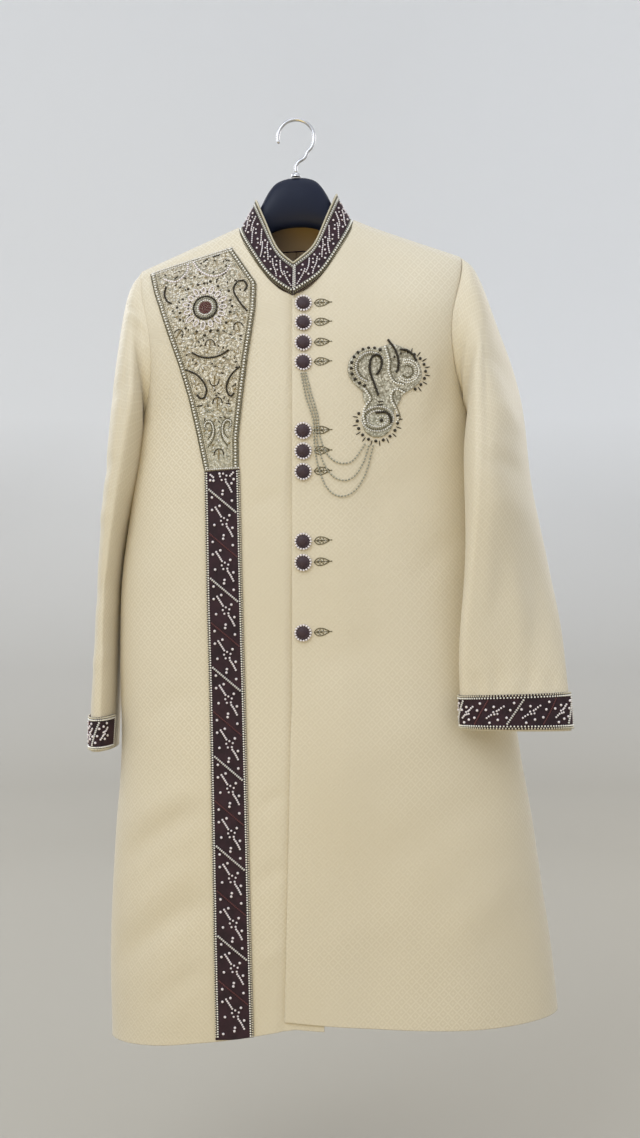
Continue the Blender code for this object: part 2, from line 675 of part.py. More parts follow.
def trim(name, panel, edges, columns, look):
    """A flat trim on a panel: its rows are the panel's own, cut off at the trim's top and foot."""
    (one_z, one_x), (other_z, other_x) = edges
    shares = np.linspace(0, 1, columns)
    tops, feet = (
        [row_of(panel, between(one_x[i], other_x[i], s), between(one_z[i], other_z[i], s)) for s in shares]
        for i in (0, -1)
    )
    first = math.ceil(max(tops) + TRIM_ROW_GAP)
    last = math.floor(min(feet) - TRIM_ROW_GAP)
    rows = [tops] + [[float(row)] * columns for row in range(first, last + 1)] + [feet]
    layers = []
    for out in (3 * SEAM + TRIM, 3 * SEAM):
        grid = []
        for row in rows:
            ends = [(edge_x(panel, one_z, one_x, at), edge_x(panel, other_z, other_x, at)) for at in row]
            places = zip(ends, shares, row)
            grid.append([at_row(panel, between(*pair, share), at, out) for pair, share, at in places])
        layers.append(np.array(grid))
    wall(name, *layers, look)


def shoulder_panel(panel, look):
    table = np.array(SHOULDER_PANEL)
    edges = ((table[:, 1], table[:, 0]), (table[:, 3], table[:, 2]))
    trim("shoulder_panel", panel, edges, SHOULDER_PANEL_COLUMNS, look)


def velvet_strip(panel, look):
    heights, outer, inner = VELVET_STRIP.T
    trim("velvet_strip", panel, ((heights, outer), (heights, inner)), STRIP_COLUMNS, look)


def paisley_outline(angle):
    """Distance from the paisley's centre to its rim: the farthest of its discs' rims along a ray."""
    ray = np.stack([np.cos(angle), np.sin(angle)], axis=-1)
    reach = np.zeros(len(angle))
    for x, z, radius in PAISLEY_DISCS:
        centre = np.array([x - PAISLEY_CENTRE[0], z - PAISLEY_CENTRE[1]])
        along = ray @ centre
        inside = radius**2 - centre @ centre + along**2
        hit = np.where(inside > 0, along + np.sqrt(np.maximum(inside, 0)), 0)
        reach = np.maximum(reach, hit)
    return reach


def paisley_motif(panel, look):
    angles = np.linspace(0, 2 * math.pi, PAISLEY_SIDES, endpoint=False)
    reach = paisley_outline(angles)
    reach = (np.roll(reach, 1) + 2 * reach + np.roll(reach, -1)) / 4
    shares = np.array(PAISLEY_RINGS)[:, None]
    x = PAISLEY_CENTRE[0] + shares * reach * np.cos(angles)
    z = PAISLEY_CENTRE[1] + shares * reach * np.sin(angles)
    bm = bmesh.new()
    layers = []
    for out in (3 * SEAM, 3 * SEAM + TRIM):
        points = hung(on_panel(panel, x, z, out))
        rings = []
        for ring in points:
            verts = [bm.verts.new(p) for p in ring]
            rings.append([bm.edges.new((a, b)) for a, b in zip(verts, verts[1:] + verts[:1])])
        bmesh.ops.bridge_loops(bm, edges=rings[0] + rings[1])
        bmesh.ops.bridge_loops(bm, edges=rings[1] + rings[2])
        bmesh.ops.contextual_create(bm, geom=rings[0])
        layers.append(rings[2])
    bmesh.ops.bridge_loops(bm, edges=layers[0] + layers[1])
    new_object("paisley_motif", bm, look)


# ---------------------------------------------------------------- hard pieces
def buttons(panel, look):
    """Ten covered domes on beaded rims, each turned about the cloth's own normal."""
    for number, level in enumerate(BUTTON_LEVELS, start=1):
        seat = hung(on_panel(panel, BUTTON_X, level, 2 * SEAM))
        ahead = hung(on_panel(panel, BUTTON_X, level, 3 * SEAM))
        bm = bmesh.new()
        verts = [bm.verts.new((radius, 0, height)) for radius, height in BUTTON_PROFILE]
        edges = [bm.edges.new(pair) for pair in zip(verts, verts[1:])]
        bmesh.ops.spin(
            bm,
            geom=verts + edges,
            cent=(0, 0, 0),
            axis=(0, 0, 1),
            angle=2 * math.pi,
            steps=BUTTON_SIDES,
            use_merge=True,
        )
        bmesh.ops.remove_doubles(bm, verts=bm.verts, dist=1e-5)
        facing = Vector(ahead - seat).to_track_quat("Z", "Y").to_matrix()
        bmesh.ops.rotate(bm, verts=bm.verts, cent=(0, 0, 0), matrix=facing)
        bmesh.ops.translate(bm, verts=bm.verts, vec=seat)
        new_object(f"button_{number}", bm, look)


def tube(name, points, radius, look):
    """A cord or wire: an open poly curve with a round bevel and closed ends."""
    curve = bpy.data.curves.new(name, "CURVE")
    curve.dimensions = "3D"
    curve.bevel_depth = radius
    curve.bevel_resolution = 2
    curve.use_fill_caps = True
    spline = curve.splines.new("POLY")
    spline.points.add(len(points) - 1)
    for point, place in zip(spline.points, points):
        point.co = (*place, 1)
    curve.materials.append(look)
    made = bpy.data.objects.new(name, curve)
    bpy.context.scene.collection.objects.link(made)
    return made


def even_curve(points, spacing):
    """Points a set length apart on a smooth curve through the given ones."""
    points = np.array(points, float)
    keys = np.arange(len(points), dtype=float)
    dense = np.linspace(0, len(points) - 1, 400)
    line = np.stack([smooth_through(keys, column, dense) for column in points.T], axis=-1)
    run = np.concatenate([[0], np.cumsum(np.linalg.norm(np.diff(line, axis=0), axis=1))])
    at = np.linspace(0, run[-1], int(round(run[-1] / spacing)) + 1)
    return np.stack([np.interp(at, run, column) for column in line.T], axis=-1)


def chains(panel, look):
    for name, route in CHAINS.items():
        flat = even_curve(route, 2.6 * CHAIN_DIAMETER)
        points = on_panel(panel, flat[:, 0], flat[:, 1], CHAIN_DIAMETER / 2 + 2 * SEAM)
        tube(name, hung(points), CHAIN_DIAMETER / 2, look)


def hanger_body(look):
    """Broad hanger: rounded sections lofted from one shoulder through the hump to the other."""
    table = np.array(HANGER)
    table = np.concatenate([table[:0:-1] * np.array([-1, 1, 1, 1]), table])
    turns = np.linspace(0, 2 * math.pi, HANGER_SIDES, endpoint=False)
    bm = bmesh.new()
    last = None
    for x, top, bottom, half in table:
        middle, tall = (top + bottom) / 2, (top - bottom) / 2
        y = half * np.sin(turns)
        z = middle + tall * np.cos(turns)
        ring = hung(np.stack([np.full(HANGER_SIDES, x), y, z], axis=-1))
        verts = [bm.verts.new(p) for p in ring]
        edges = [bm.edges.new((a, b)) for a, b in zip(verts, verts[1:] + verts[:1])]
        if last is None:
            bmesh.ops.contextual_create(bm, geom=edges)
        else:
            bmesh.ops.bridge_loops(bm, edges=last + edges)
        last = edges
    bmesh.ops.contextual_create(bm, geom=last)
    new_object("hanger_body", bm, look)


def hanger_hook(look):
    """Wire hook in the plane of the coat: a straight neck, then a bend whose inner crown is the origin."""
    radius = HOOK_BEND + HOOK_WIRE
    turns = np.radians(np.linspace(*HOOK_ARC, 16))
    bend = [(radius * math.cos(a), radius * math.sin(a) - HOOK_BEND) for a in turns]
    flat = even_curve([(0.0, FERRULE_TOP + SEAM)] + HOOK_LEAD + bend, 2.4 * HOOK_WIRE)
    tube("hanger_hook", [(x, 0.0, z) for x, z in flat], HOOK_WIRE, look)


def ferrule(look):
    """Short metal collar where the hook screws into the hump."""
    bm = bmesh.new()
    bmesh.ops.create_cone(
        bm,
        cap_ends=True,
        segments=16,
        radius1=FERRULE_FOOT_RADIUS,
        radius2=FERRULE_TOP_RADIUS,
        depth=FERRULE_HEIGHT,
    )
    bmesh.ops.translate(bm, verts=bm.verts, vec=(0, 0, FERRULE_TOP - FERRULE_HEIGHT / 2))
    new_object("hanger_ferrule", bm, look)


def main():
    for old in list(bpy.data.objects):
        bpy.data.objects.remove(old)
    brocade = material("ivory_brocade", IVORY, 0.55)
    velvet = material("maroon_velvet", MAROON, 0.80)
    silver = material("silver_beads", SILVER, 0.35, 0.6)
    zardozi = material("zardozi", GOLD, 0.50, 0.5)
    plastic = material("navy_plastic", NAVY, 0.35)
    steel = material("hook_steel", STEEL, 0.30, 1.0)

    over, under, left, right = body_panels(brocade)
    sleeve("left", SLEEVE_LEFT, 1, over[0][:, -1], left[:, 0], brocade)
    sleeve("right", SLEEVE_RIGHT, -1, under[0][:, 0], right[:, -1], brocade)
    cuff_band("cuff_band_left", SLEEVE_LEFT, velvet)
    cuff_band("cuff_band_right", SLEEVE_RIGHT, velvet)
    collar(collar_base(over[0], under[0], left, right), velvet)
    shoulder_panel(under, zardozi)
    velvet_strip(under, velvet)
    paisley_motif(over, silver)
    buttons(over, velvet)
    chains(over, silver)
    hanger_body(plastic)
    ferrule(steel)
    hanger_hook(steel)


main()
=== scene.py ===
# %% [markdown]
# # A brocade sherwani on its hanger
# A sherwani is a long coat with a stand collar, worn at weddings. This one is ivory brocade with velvet at
# the collar and cuffs, a velvet strip down one front, a shoulder covered in metal-thread embroidery, and a
# beaded paisley from which three bead chains swing to the buttons. It hangs on a broad-shouldered hanger.
#
# The plain solids of the coat come first, as a frame that never moves. Each is then dressed with a finer
# skin that lies where the solid lies.

# %% Load the solids
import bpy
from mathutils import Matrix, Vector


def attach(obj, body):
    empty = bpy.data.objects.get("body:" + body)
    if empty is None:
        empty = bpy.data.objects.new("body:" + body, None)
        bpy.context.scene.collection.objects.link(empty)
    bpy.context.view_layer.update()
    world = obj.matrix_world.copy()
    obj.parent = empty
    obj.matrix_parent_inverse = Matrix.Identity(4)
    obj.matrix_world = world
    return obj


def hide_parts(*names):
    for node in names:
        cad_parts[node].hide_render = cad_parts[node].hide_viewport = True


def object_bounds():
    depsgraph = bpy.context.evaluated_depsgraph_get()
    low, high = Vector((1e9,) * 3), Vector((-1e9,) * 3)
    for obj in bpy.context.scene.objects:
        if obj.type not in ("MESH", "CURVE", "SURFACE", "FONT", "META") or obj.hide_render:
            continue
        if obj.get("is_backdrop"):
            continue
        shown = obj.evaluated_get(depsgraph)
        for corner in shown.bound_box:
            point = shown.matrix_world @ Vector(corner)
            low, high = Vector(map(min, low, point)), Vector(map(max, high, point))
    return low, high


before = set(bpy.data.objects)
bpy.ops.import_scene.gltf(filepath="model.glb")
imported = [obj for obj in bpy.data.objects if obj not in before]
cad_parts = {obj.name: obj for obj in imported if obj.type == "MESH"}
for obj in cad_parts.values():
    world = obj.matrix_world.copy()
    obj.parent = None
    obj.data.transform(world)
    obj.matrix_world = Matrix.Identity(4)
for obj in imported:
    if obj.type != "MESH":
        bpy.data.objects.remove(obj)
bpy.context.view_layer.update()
print("solids:", ", ".join(sorted(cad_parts)))

# %% The tools used all through
import math

import bmesh
import bpy
import numpy as np
from mathutils import Vector

scene = bpy.context.scene
TURN = 2 * math.pi


def object_of(name, bm, looks):
    """Makes a bmesh an object of the scene, shaded smooth, with its materials."""
    mesh = bpy.data.meshes.new(name)
    bm.to_mesh(mesh)
    bm.free()
    mesh.shade_smooth()
    for look in looks:
        mesh.materials.append(look)
    made = bpy.data.objects.new(name, mesh)
    scene.collection.objects.link(made)
    return made


def spun(bm, profile, steps, base=0.0):
    """Spins a profile of (distance from the axis, height) round the vertical axis, into a closed skin."""
    verts = [bm.verts.new((reach, 0, base + height)) for reach, height in profile]
    geom = verts + [bm.edges.new(pair) for pair in zip(verts, verts[1:])]
    bmesh.ops.spin(bm, geom=geom, cent=(0, 0, 0), axis=(0, 0, 1), angle=TURN, steps=steps, use_merge=True)
    bmesh.ops.remove_doubles(bm, verts=bm.verts, dist=1e-5)
    bmesh.ops.recalc_face_normals(bm, faces=bm.faces)


def stacked(*columns):
    return np.stack(columns, axis=-1)


# %% [markdown]
# ## Camera, light and floor
# The camera stands at chest height, square to the hanger, and is held upright, as for a lookbook. Its lens is
# worked out from how much it has to take in at that distance, so no number is tried out.

# %% The camera
EYE = Vector((0.0323, -1.9, -0.6023))  # metres, square in front of the hanger's plane
VIEW_HEIGHT = 1.5317  # metres from top to bottom of the view, on that plane
SENSOR = 36.0  # millimetres, along the long side of the picture

camera_data = bpy.data.cameras.new("studio_camera")
camera_data.sensor_width = SENSOR
camera_data.lens = SENSOR * abs(EYE.y) / VIEW_HEIGHT
camera = bpy.data.objects.new("studio_camera", camera_data)
camera.location = EYE
camera.rotation_euler = (math.pi / 2, 0, 0)
scene.collection.objects.link(camera)
scene.camera = camera
print(f"lens {camera_data.lens:.1f} mm")


# %% Helpers for materials
def finish_of(name, colour, roughness, **sockets):
    """A Principled material; further sockets are given by their names, with _ for a space."""
    made = bpy.data.materials.new(name)
    made.use_nodes = True
    shader = made.node_tree.nodes["Principled BSDF"]
    shader.inputs["Base Color"].default_value = (*colour, 1)
    shader.inputs["Roughness"].default_value = roughness
    for socket, value in sockets.items():
        shader.inputs[socket.replace("_", " ")].default_value = value
    return made


def feed(tree, socket, value):
    """Links a value to a socket of the material's shader."""
    tree.links.new(value, tree.nodes["Principled BSDF"].inputs[socket])


def node(tree, kind, *sources, **settings):
    """A new node with its inputs linked or set in order."""
    made = tree.nodes.new(kind)
    for name, value in settings.items():
        setattr(made, name, value)
    for number, source in enumerate(sources):
        if isinstance(source, bpy.types.NodeSocket):
            tree.links.new(source, made.inputs[number])
        else:
            made.inputs[number].default_value = source
    return made


def maths(tree, operation, *sources):
    return node(tree, "ShaderNodeMath", *sources, operation=operation).outputs[0]


def blend_colours(tree, share, first, second):
    """Mixes two colours, each a socket or an RGB triple."""
    mix = tree.nodes.new("ShaderNodeMix")
    mix.data_type = "RGBA"
    tree.links.new(share, mix.inputs["Factor"])
    for socket, colour in (("A", first), ("B", second)):
        target = next(s for s in mix.inputs if s.name == socket and s.type == "RGBA")
        if isinstance(colour, tuple):
            target.default_value = (*colour, 1)
        else:
            tree.links.new(colour, target)
    return next(s for s in mix.outputs if s.type == "RGBA")


def noise(tree, coordinates, scale, detail=2.0):
    made = node(tree, "ShaderNodeTexNoise", coordinates)
    made.inputs["Scale"].default_value = scale
    made.inputs["Detail"].default_value = detail
    return made.outputs[0]


def step_up(tree, value, start, end):
    """0 at the start value, 1 at the end value."""
    return node(tree, "ShaderNodeMapRange", value, start, end).outputs[0]


def places(tree):
    return node(tree, "ShaderNodeTexCoord").outputs["Object"]


def height_in(tree, place):
    return node(tree, "ShaderNodeSeparateXYZ", place).outputs[2]


def bump(tree, height, distance, strength):
    made = tree.nodes.new("ShaderNodeBump")
    made.inputs["Strength"].default_value = strength
    made.inputs["Distance"].default_value = distance
    tree.links.new(height, made.inputs["Height"])
    feed(tree, "Normal", made.outputs[0])


# %% [markdown]
# The studio is a round bowl: a floor that curves up into a wall on every side, so the coat has the same
# pale ground behind it from wherever it is looked at. A spun profile gives it in one step. The floor is
# warmer and darker than the wall, and its paint runs up into the wall's over the lowest metre and a half,
# so the wall behind the coat is painted darker towards the bottom: that is painted shade. The warm floor
# also gives the skirt its warm light from below.

# %% Floor and wall in one bowl
FLOOR_LEVEL = -1.46
WALL_PAINT, FLOOR_PAINT_AND_SHADE = (0.88, 0.885, 0.895), (0.42, 0.395, 0.345)
# painted shade: the height over which the paint darkens from the pale wall down into the warm floor
SHADE_PAINT_RISE = 1.5  # metres over which the warm floor turns into the cool wall
BOWL = [
    # distance from the middle, height above the floor
    (0.0, 0.0), (2.6, 0.0), (3.3, 0.08), (3.9, 0.45), (4.2, 1.1), (4.3, 2.2), (4.3, 4.2),
]
PAINT = finish_of("studio_paint", WALL_PAINT, 0.95)
paint_tree = PAINT.node_tree
high = height_in(paint_tree, places(paint_tree))
# painted shade: the wall darker and warmer towards the floor
shade = step_up(paint_tree, high, FLOOR_LEVEL, FLOOR_LEVEL + SHADE_PAINT_RISE)
feed(paint_tree, "Base Color", blend_colours(paint_tree, shade, FLOOR_PAINT_AND_SHADE, WALL_PAINT))
studio = bmesh.new()
spun(studio, BOWL, 72, FLOOR_LEVEL)
floor = object_of("studio_floor", studio, [PAINT])
floor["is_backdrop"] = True
print("floor at", FLOOR_LEVEL)

# %% [markdown]
# Soft light comes from large panels: a key high on the left, a weaker one on the right, a low warm one, one
# above, and two behind, so that the back is lit as well. Large panels give the gentle shading that shows
# folds in pale cloth.

# %% Lights
LIGHTS = [
    # name, place, size, power, colour
    ("key", (-1.4, -2.2, 1.2), 2.0, 37, (0.86, 0.93, 1.0)),
    ("fill", (1.8, -2.3, 1.0), 1.8, 5.0, (0.92, 0.95, 1.0)),
    ("low", (-0.5, -2.2, -1.05), 0.9, 7.8, (1.0, 0.70, 0.06)),
    ("top", (0.1, -0.5, 2.0), 1.6, 6, (0.92, 0.96, 1.0)),
    ("back_left", (-2.2, 2.4, 0.9), 1.6, 34, (0.95, 0.97, 1.0)),
    ("back_right", (2.4, 2.2, 0.6), 1.6, 26, (1.0, 0.97, 0.92)),
]
AIM = Vector((0.03, 0.0, -0.62))
AIR_COLOUR, AIR_STRENGTH = (0.86, 0.89, 0.94, 1), 0.90
for name, place, size, power, colour in LIGHTS:
    light_data = bpy.data.lights.new(name, "AREA")
    light_data.size = size
    light_data.energy = power
    light_data.color = colour
    light = bpy.data.objects.new(name, light_data)
    light.location = place
    light.rotation_euler = (AIM - light.location).to_track_quat("-Z", "Y").to_euler()
    scene.collection.objects.link(light)

scene.world = scene.world or bpy.data.worlds.new("studio_air")
scene.world.use_nodes = True
air = scene.world.node_tree.nodes["Background"]
air.inputs["Color"].default_value = AIR_COLOUR
air.inputs["Strength"].default_value = AIR_STRENGTH
scene.view_settings.view_transform = "Standard"
print(len(LIGHTS), "light panels")

# %% [markdown]
# ## The coat's form
# The coat's solids were worked out from a few sections and edges. The same tables and the same functions are
# used here, only read more finely, so every skin lies exactly on its solid.

# %% Sizes of the cloth
CLOTH = 0.002  # wall of the brocade with its backing
TRIM = 0.0012  # wall of velvet and embroidery laid on it
SEAM = 0.0003
TRIM_OUT = 3 * SEAM + TRIM  # how far a trim's face stands out from the cloth's
TILT = 0.0577  # the hanger sits askew: rise per metre to the wearer's left
SHOULDER_SLOPE, SLOPE_PIVOT, SLOPE_ENDS = 0.4, 0.079, -0.36
NECK_HALF = 0.077
SHOULDER_LEVEL, BACK_NECK_LEVEL, CLOSING_LEVEL = -0.139, -0.19, -0.261
ARMPIT_LEVEL, LIFT_LEVEL, HEM_LEVEL = -0.4, -0.86, -1.209
OVERLIE_TO, FLUSH_FROM = 0.055, 0.11
FRONT_SCOOP, BACK_SCOOP, SCOOP_POWER = 28, 24, 0.6
SLEEVE_TUCK = 0.0006  # the sleeve's head lies this far under the armhole's edge
LEVEL_ROUNDS = 24  # rounds of correction when a level is looked for
TORSO = np.array([
    # level, left, right, front, back, squareness
    (-0.139, -0.207, 0.222, 0.0, 0.0, 7.0),
    (-0.1469, -0.207, 0.222, 0.0145, 0.013, 7.0),
    (-0.158, -0.207, 0.222, 0.025, 0.023, 6.5),
    (-0.18, -0.207, 0.221, 0.04, 0.037, 6.0),
    (-0.205, -0.206, 0.22, 0.053, 0.049, 5.2),
    (-0.2437, -0.205, 0.219, 0.07, 0.061, 4.2),
    (-0.2922, -0.203, 0.219, 0.083, 0.07, 3.4),
    (-0.3348, -0.2, 0.22, 0.089, 0.075, 2.9),
    (-0.3921, -0.199, 0.223, 0.093, 0.08, 2.45),
    (-0.43, -0.203, 0.227, 0.094, 0.083, 2.35),
    (-0.5, -0.216, 0.236, 0.0955, 0.086, 2.3),
    (-0.585, -0.23, 0.25, 0.097, 0.088, 2.3),
    (-0.7, -0.232, 0.27, 0.099, 0.09, 2.3),
    (-0.83, -0.232, 0.295, 0.101, 0.092, 2.3),
    (-0.926, -0.239, 0.311, 0.103, 0.093, 2.3),
    (-1.016, -0.245, 0.325, 0.104, 0.095, 2.3),
    (-1.106, -0.248, 0.3395, 0.105, 0.096, 2.3),
    (-1.209, -0.247, 0.35, 0.106, 0.097, 2.3),
])
NECKLINE = np.array([
    # level, half width of the front neckline
    (SHOULDER_LEVEL, NECK_HALF),
    (-0.157, 0.0735), (-0.179, 0.064), (-0.198, 0.0545), (-0.2134, 0.0465), (-0.2296, 0.0375),
    (-0.2437, 0.026), (-0.2525, 0.0165),
    (CLOSING_LEVEL, 0.001),
])
BACK_NECKLINE = np.array([
    # level, half width of the back neckline
    (SHOULDER_LEVEL, NECK_HALF),
    (-0.15, 0.071), (-0.165, 0.059), (-0.178, 0.042), (-0.186, 0.024),
    (BACK_NECK_LEVEL, 0.0),
])
CLOSING_EDGE = np.array([
    # level, x of the over front's edge
    (CLOSING_LEVEL, -0.0035),
    (-0.77, -0.0035), (-0.82, -0.0054),
    (HEM_LEVEL, -0.0128),
])
UNDER_EDGE = np.array([
    # level, x of the under front's edge
    (CLOSING_LEVEL, 0.001),
    (-0.2922, 0.046),
    (HEM_LEVEL, 0.038),
])
HEM_LIFT = {
    # side: x at which the hem is highest, reach to each side, height
    "over": (-0.0125, 0.30, 0.0310),
    "under": (0.0, 0.22, 0.0205),
}
SKIRT_FOLDS = [
    # x at hem, lean, half width, depth, top level
    (-0.185, 0.12, 0.032, 0.003, -0.8),
    (-0.13, -0.06, 0.024, -0.0025, -0.86),
    (0.09, -0.1, 0.05, -0.0025, -0.84),
    (0.225, 0.14, 0.045, 0.003, -0.8),
]
print("coat", SHOULDER_LEVEL - HEM_LEVEL, "m from shoulder to hem")


# %% Reading the tables smoothly
def smooth_through(keys, values, at):
    """Smooth curve through a table's column: a cubic between each two rows, with the rows' own slopes."""
    order = np.argsort(keys)
    keys, values = np.asarray(keys, float)[order], np.asarray(values, float)[order]
    slopes = np.gradient(values, keys, axis=0)
    at = np.clip(at, keys[0], keys[-1])
    i = np.clip(np.searchsorted(keys, at) - 1, 0, len(keys) - 2)
    span = keys[i + 1] - keys[i]
    t = (at - keys[i]) / span
    if values.ndim > 1:
        span, t = span[..., None], t[..., None]
    start = values[i] * (1 + 2 * t) * (1 - t) ** 2 + slopes[i] * span * t * (1 - t) ** 2
    return start + values[i + 1] * t * t * (3 - 2 * t) + slopes[i + 1] * span * t * t * (t - 1)


def column(table, number, at):
    """One column of a table, read smoothly at a value of its first."""
    return smooth_through(table[:, 0], table[:, number], at)


def straight(table, number, at):
    """One column of a table that runs downwards, read straight from row to row."""
    return np.interp(-at, -table[:, 0], table[:, number])


def fade(value, start, end):
    """0 at start, 1 at end, smooth between."""
    t = np.clip((value - start) / (end - start), 0, 1)
    return t * t * (3 - 2 * t)


def unit(vectors):
    return vectors / np.maximum(np.linalg.norm(vectors, axis=-1, keepdims=True), 1e-12)


def bell(distance, reach):
    """1 at no distance, falling off smoothly about a reach away."""
    return np.exp(-((distance / reach) ** 2))


def running(line):
    """Length run along a line of points, at each of them."""
    return np.concatenate([[0], np.cumsum(np.linalg.norm(np.diff(line, axis=0), axis=1))])


def eased(line):
    """The inner points of a line, each drawn towards its neighbours."""
    return (line[:-2] + 2 * line[1:-1] + line[2:]) / 4


# %% [markdown]
# The body is one surface in two numbers, the angle round it and the level. Over the hanger's shoulders its
# section is boxy and lower down it is close to an ellipse, which is what the squareness column says.

# %% The body's surface
def section(level):
    """Centre, half width, front depth, back depth and squareness of the body at a level."""
    left, right, front, back, square = (column(TORSO, number, level) for number in range(1, 6))
    return (left + right) / 2, (right - left) / 2, front, back, square


def slope_at(level):
    """How steeply a row of the body falls to the sides: the shoulder's slope, gone at the armpit."""
    return SHOULDER_SLOPE * (1 - fade(level, SHOULDER_LEVEL, SLOPE_ENDS))


def hem_rise(x, level, side):
    """How much the hem rises towards the closing edge."""
    if side not in HEM_LIFT:
        return 0.0
    highest, reach, height = HEM_LIFT[side]
    rise = height * (1 - np.clip(np.abs(x - highest) / reach, 0, 1)) ** 1.5
    return rise * fade(level, LIFT_LEVEL, HEM_LEVEL)


def fold_depth(x, level):
    total = 0.0
    for at_hem, lean, width, depth, top in SKIRT_FOLDS:
        middle = at_hem + lean * (level - HEM_LEVEL)
        total = total + depth * bell(x - middle, width) * fade(level, top, HEM_LEVEL)
    return total


def torso(angle, level, side):
    """Point of the plain body: angle in radians from the front centre, + towards +X."""
    angle, level = np.broadcast_arrays(np.asarray(angle, float), np.asarray(level, float))
    centre, half, front, back, square = section(level)
    power = 2 / square
    along = np.cos(angle)
    x = centre + half * np.sign(np.sin(angle)) * np.abs(np.sin(angle)) ** power
    depth = np.where(along >= 0, front, back)
    away = np.abs(along) ** power
    y = -np.sign(along) * away * (depth + fold_depth(x, level) * away)
    z = level - slope_at(level) * (np.abs(x) - SLOPE_PIVOT) + hem_rise(x, level, side)
    return stacked(x, y, z)


def torso_normal(angle, level, side, step=1e-3):
    """Outward normal of the plain body."""
    along = torso(angle + step, level, side) - torso(angle - step, level, side)
    down = torso(angle, level - step, side) - torso(angle, level + step, side)
    return unit(np.cross(down, along))


def angle_at(x, level, front=True):
    """The angle at which the body's section has this x."""
    centre, half, _, _, square = section(level)
    share = np.clip((x - centre) / half, -1, 1)
    angle = np.arcsin(np.sign(share) * np.abs(share) ** (square / 2))
    return angle if front else math.pi - angle


def armhole_angle(level, direction=1, front=True):
    """Radians from the front centre to a panel's outer edge: the armhole, or the side seam below it."""
    share = np.clip((SHOULDER_LEVEL - level) / (SHOULDER_LEVEL - ARMPIT_LEVEL), 0, 1)
    turn = -math.radians(FRONT_SCOOP) if front else math.radians(BACK_SCOOP)
    angle = math.pi / 2 + turn * np.sin(math.pi * share) ** SCOOP_POWER
    return direction * angle if front or direction > 0 else TURN - angle


def level_at(x, z, side):
    """The level whose row passes this x and z, found by a few rounds of correction."""
    level = np.clip(z, HEM_LEVEL, SHOULDER_LEVEL)
    for _ in range(LEVEL_ROUNDS):
        level = z + slope_at(level) * (np.abs(x) - SLOPE_PIVOT) - hem_rise(x, level, side)
        level = np.clip(level, HEM_LEVEL, SHOULDER_LEVEL)
    return level


def hung(points):
    """Places points: the whole coat leans with its hanger."""
    points = np.array(points, float)
    points[..., 2] += TILT * points[..., 0]
    return points


print("front centre at the waist:", np.round(torso(0.0, -0.65, "back"), 3))

# %% [markdown]
# ## Creases
# Stiff brocade hardly drapes. It keeps broad shallow waves, a few soft diagonals where the velvet strip pulls
# on the skirt, and short puckers beside seams. Each is listed as a trough or a ridge along a line,
# uneven in length and depth. A cloth simulation would give softer and more regular folds than this cloth has.

# %% Tables of creases
FRONT_CREASES = [
    # from x, from z, to x, to z, half width, depth (+ stands out)
    (-0.236, -0.985, -0.112, -0.897, 0.016, -0.0032),
    (-0.232, -0.94, -0.12, -0.868, 0.018, 0.002),
    (-0.24, -1.115, -0.104, -1.012, 0.017, -0.0036),
    (-0.236, -1.062, -0.112, -0.968, 0.019, 0.0024),
    (-0.2, -1.175, -0.104, -1.1, 0.015, -0.0018),
    (-0.205, -0.8, -0.125, -0.748, 0.014, -0.0012),
    (-0.049, -0.912, -0.01, -0.884, 0.01, -0.0014),
    (-0.05, -1.01, -0.012, -0.975, 0.012, -0.0016),
    (-0.048, -1.105, -0.014, -1.082, 0.01, 0.0012),
    (-0.06, -0.52, -0.012, -0.506, 0.012, -0.001),
    (-0.165, -0.345, -0.185, -0.47, 0.014, -0.002),
    (-0.178, -0.3, -0.192, -0.4, 0.01, 0.0014),
    (-0.15, -0.52, -0.206, -0.64, 0.022, 0.0018),
    (0.02, -0.735, 0.13, -0.7, 0.02, -0.001),
    (0.196, -0.33, 0.178, -0.455, 0.016, -0.0024),
    (0.178, -0.31, 0.16, -0.42, 0.018, 0.0014),
    (0.07, -0.56, 0.185, -0.47, 0.026, -0.0012),
    (0.15, -0.64, 0.215, -0.56, 0.02, -0.0016),
    (0.06, -0.86, 0.23, -0.8, 0.034, 0.0014),
    (0.1, -0.99, 0.29, -0.905, 0.03, -0.0018),
    (0.18, -1.11, 0.315, -1.0, 0.03, 0.0022),
    (0.02, -1.09, 0.16, -1.05, 0.03, 0.0012),
    (0.11, -0.205, 0.165, -0.228, 0.014, -0.001),
]
BACK_CREASES = [
    # from x, from z, to x, to z, half width, depth (+ stands out)
    (-0.17, -0.3, -0.188, -0.45, 0.016, -0.0024),
    (0.182, -0.3, 0.202, -0.44, 0.018, -0.0022),
    (-0.11, -0.215, -0.02, -0.24, 0.016, -0.0014),
    (0.03, -0.236, 0.12, -0.22, 0.018, 0.0012),
    (-0.15, -0.62, -0.03, -0.56, 0.026, -0.0018),
    (0.04, -0.68, 0.18, -0.6, 0.024, 0.0018),
    (-0.19, -0.96, -0.06, -0.86, 0.03, 0.0024),
    (-0.2, -1.11, -0.09, -0.985, 0.026, -0.003),
    (0.03, -1.01, 0.19, -0.9, 0.03, -0.0026),
    (0.12, -1.14, 0.28, -1.03, 0.028, 0.0024),
    (-0.04, -1.17, 0.05, -1.08, 0.026, -0.0018),
]
WAVES = [
    # waves per metre across, waves per metre down, phase, height
    (2.1, 1.3, 0.4, 0.0011),
    (-3.4, 2.2, 1.9, 0.0007),
    (5.2, 3.1, 4.0, 0.0004),
    (1.2, -4.6, 2.6, 0.0004),
]
CREASE_BOW = 0.07  # how far a crease bends, as a share of its length
CREASE_SKEW = 0.35  # one flank of a crease is steeper than the other


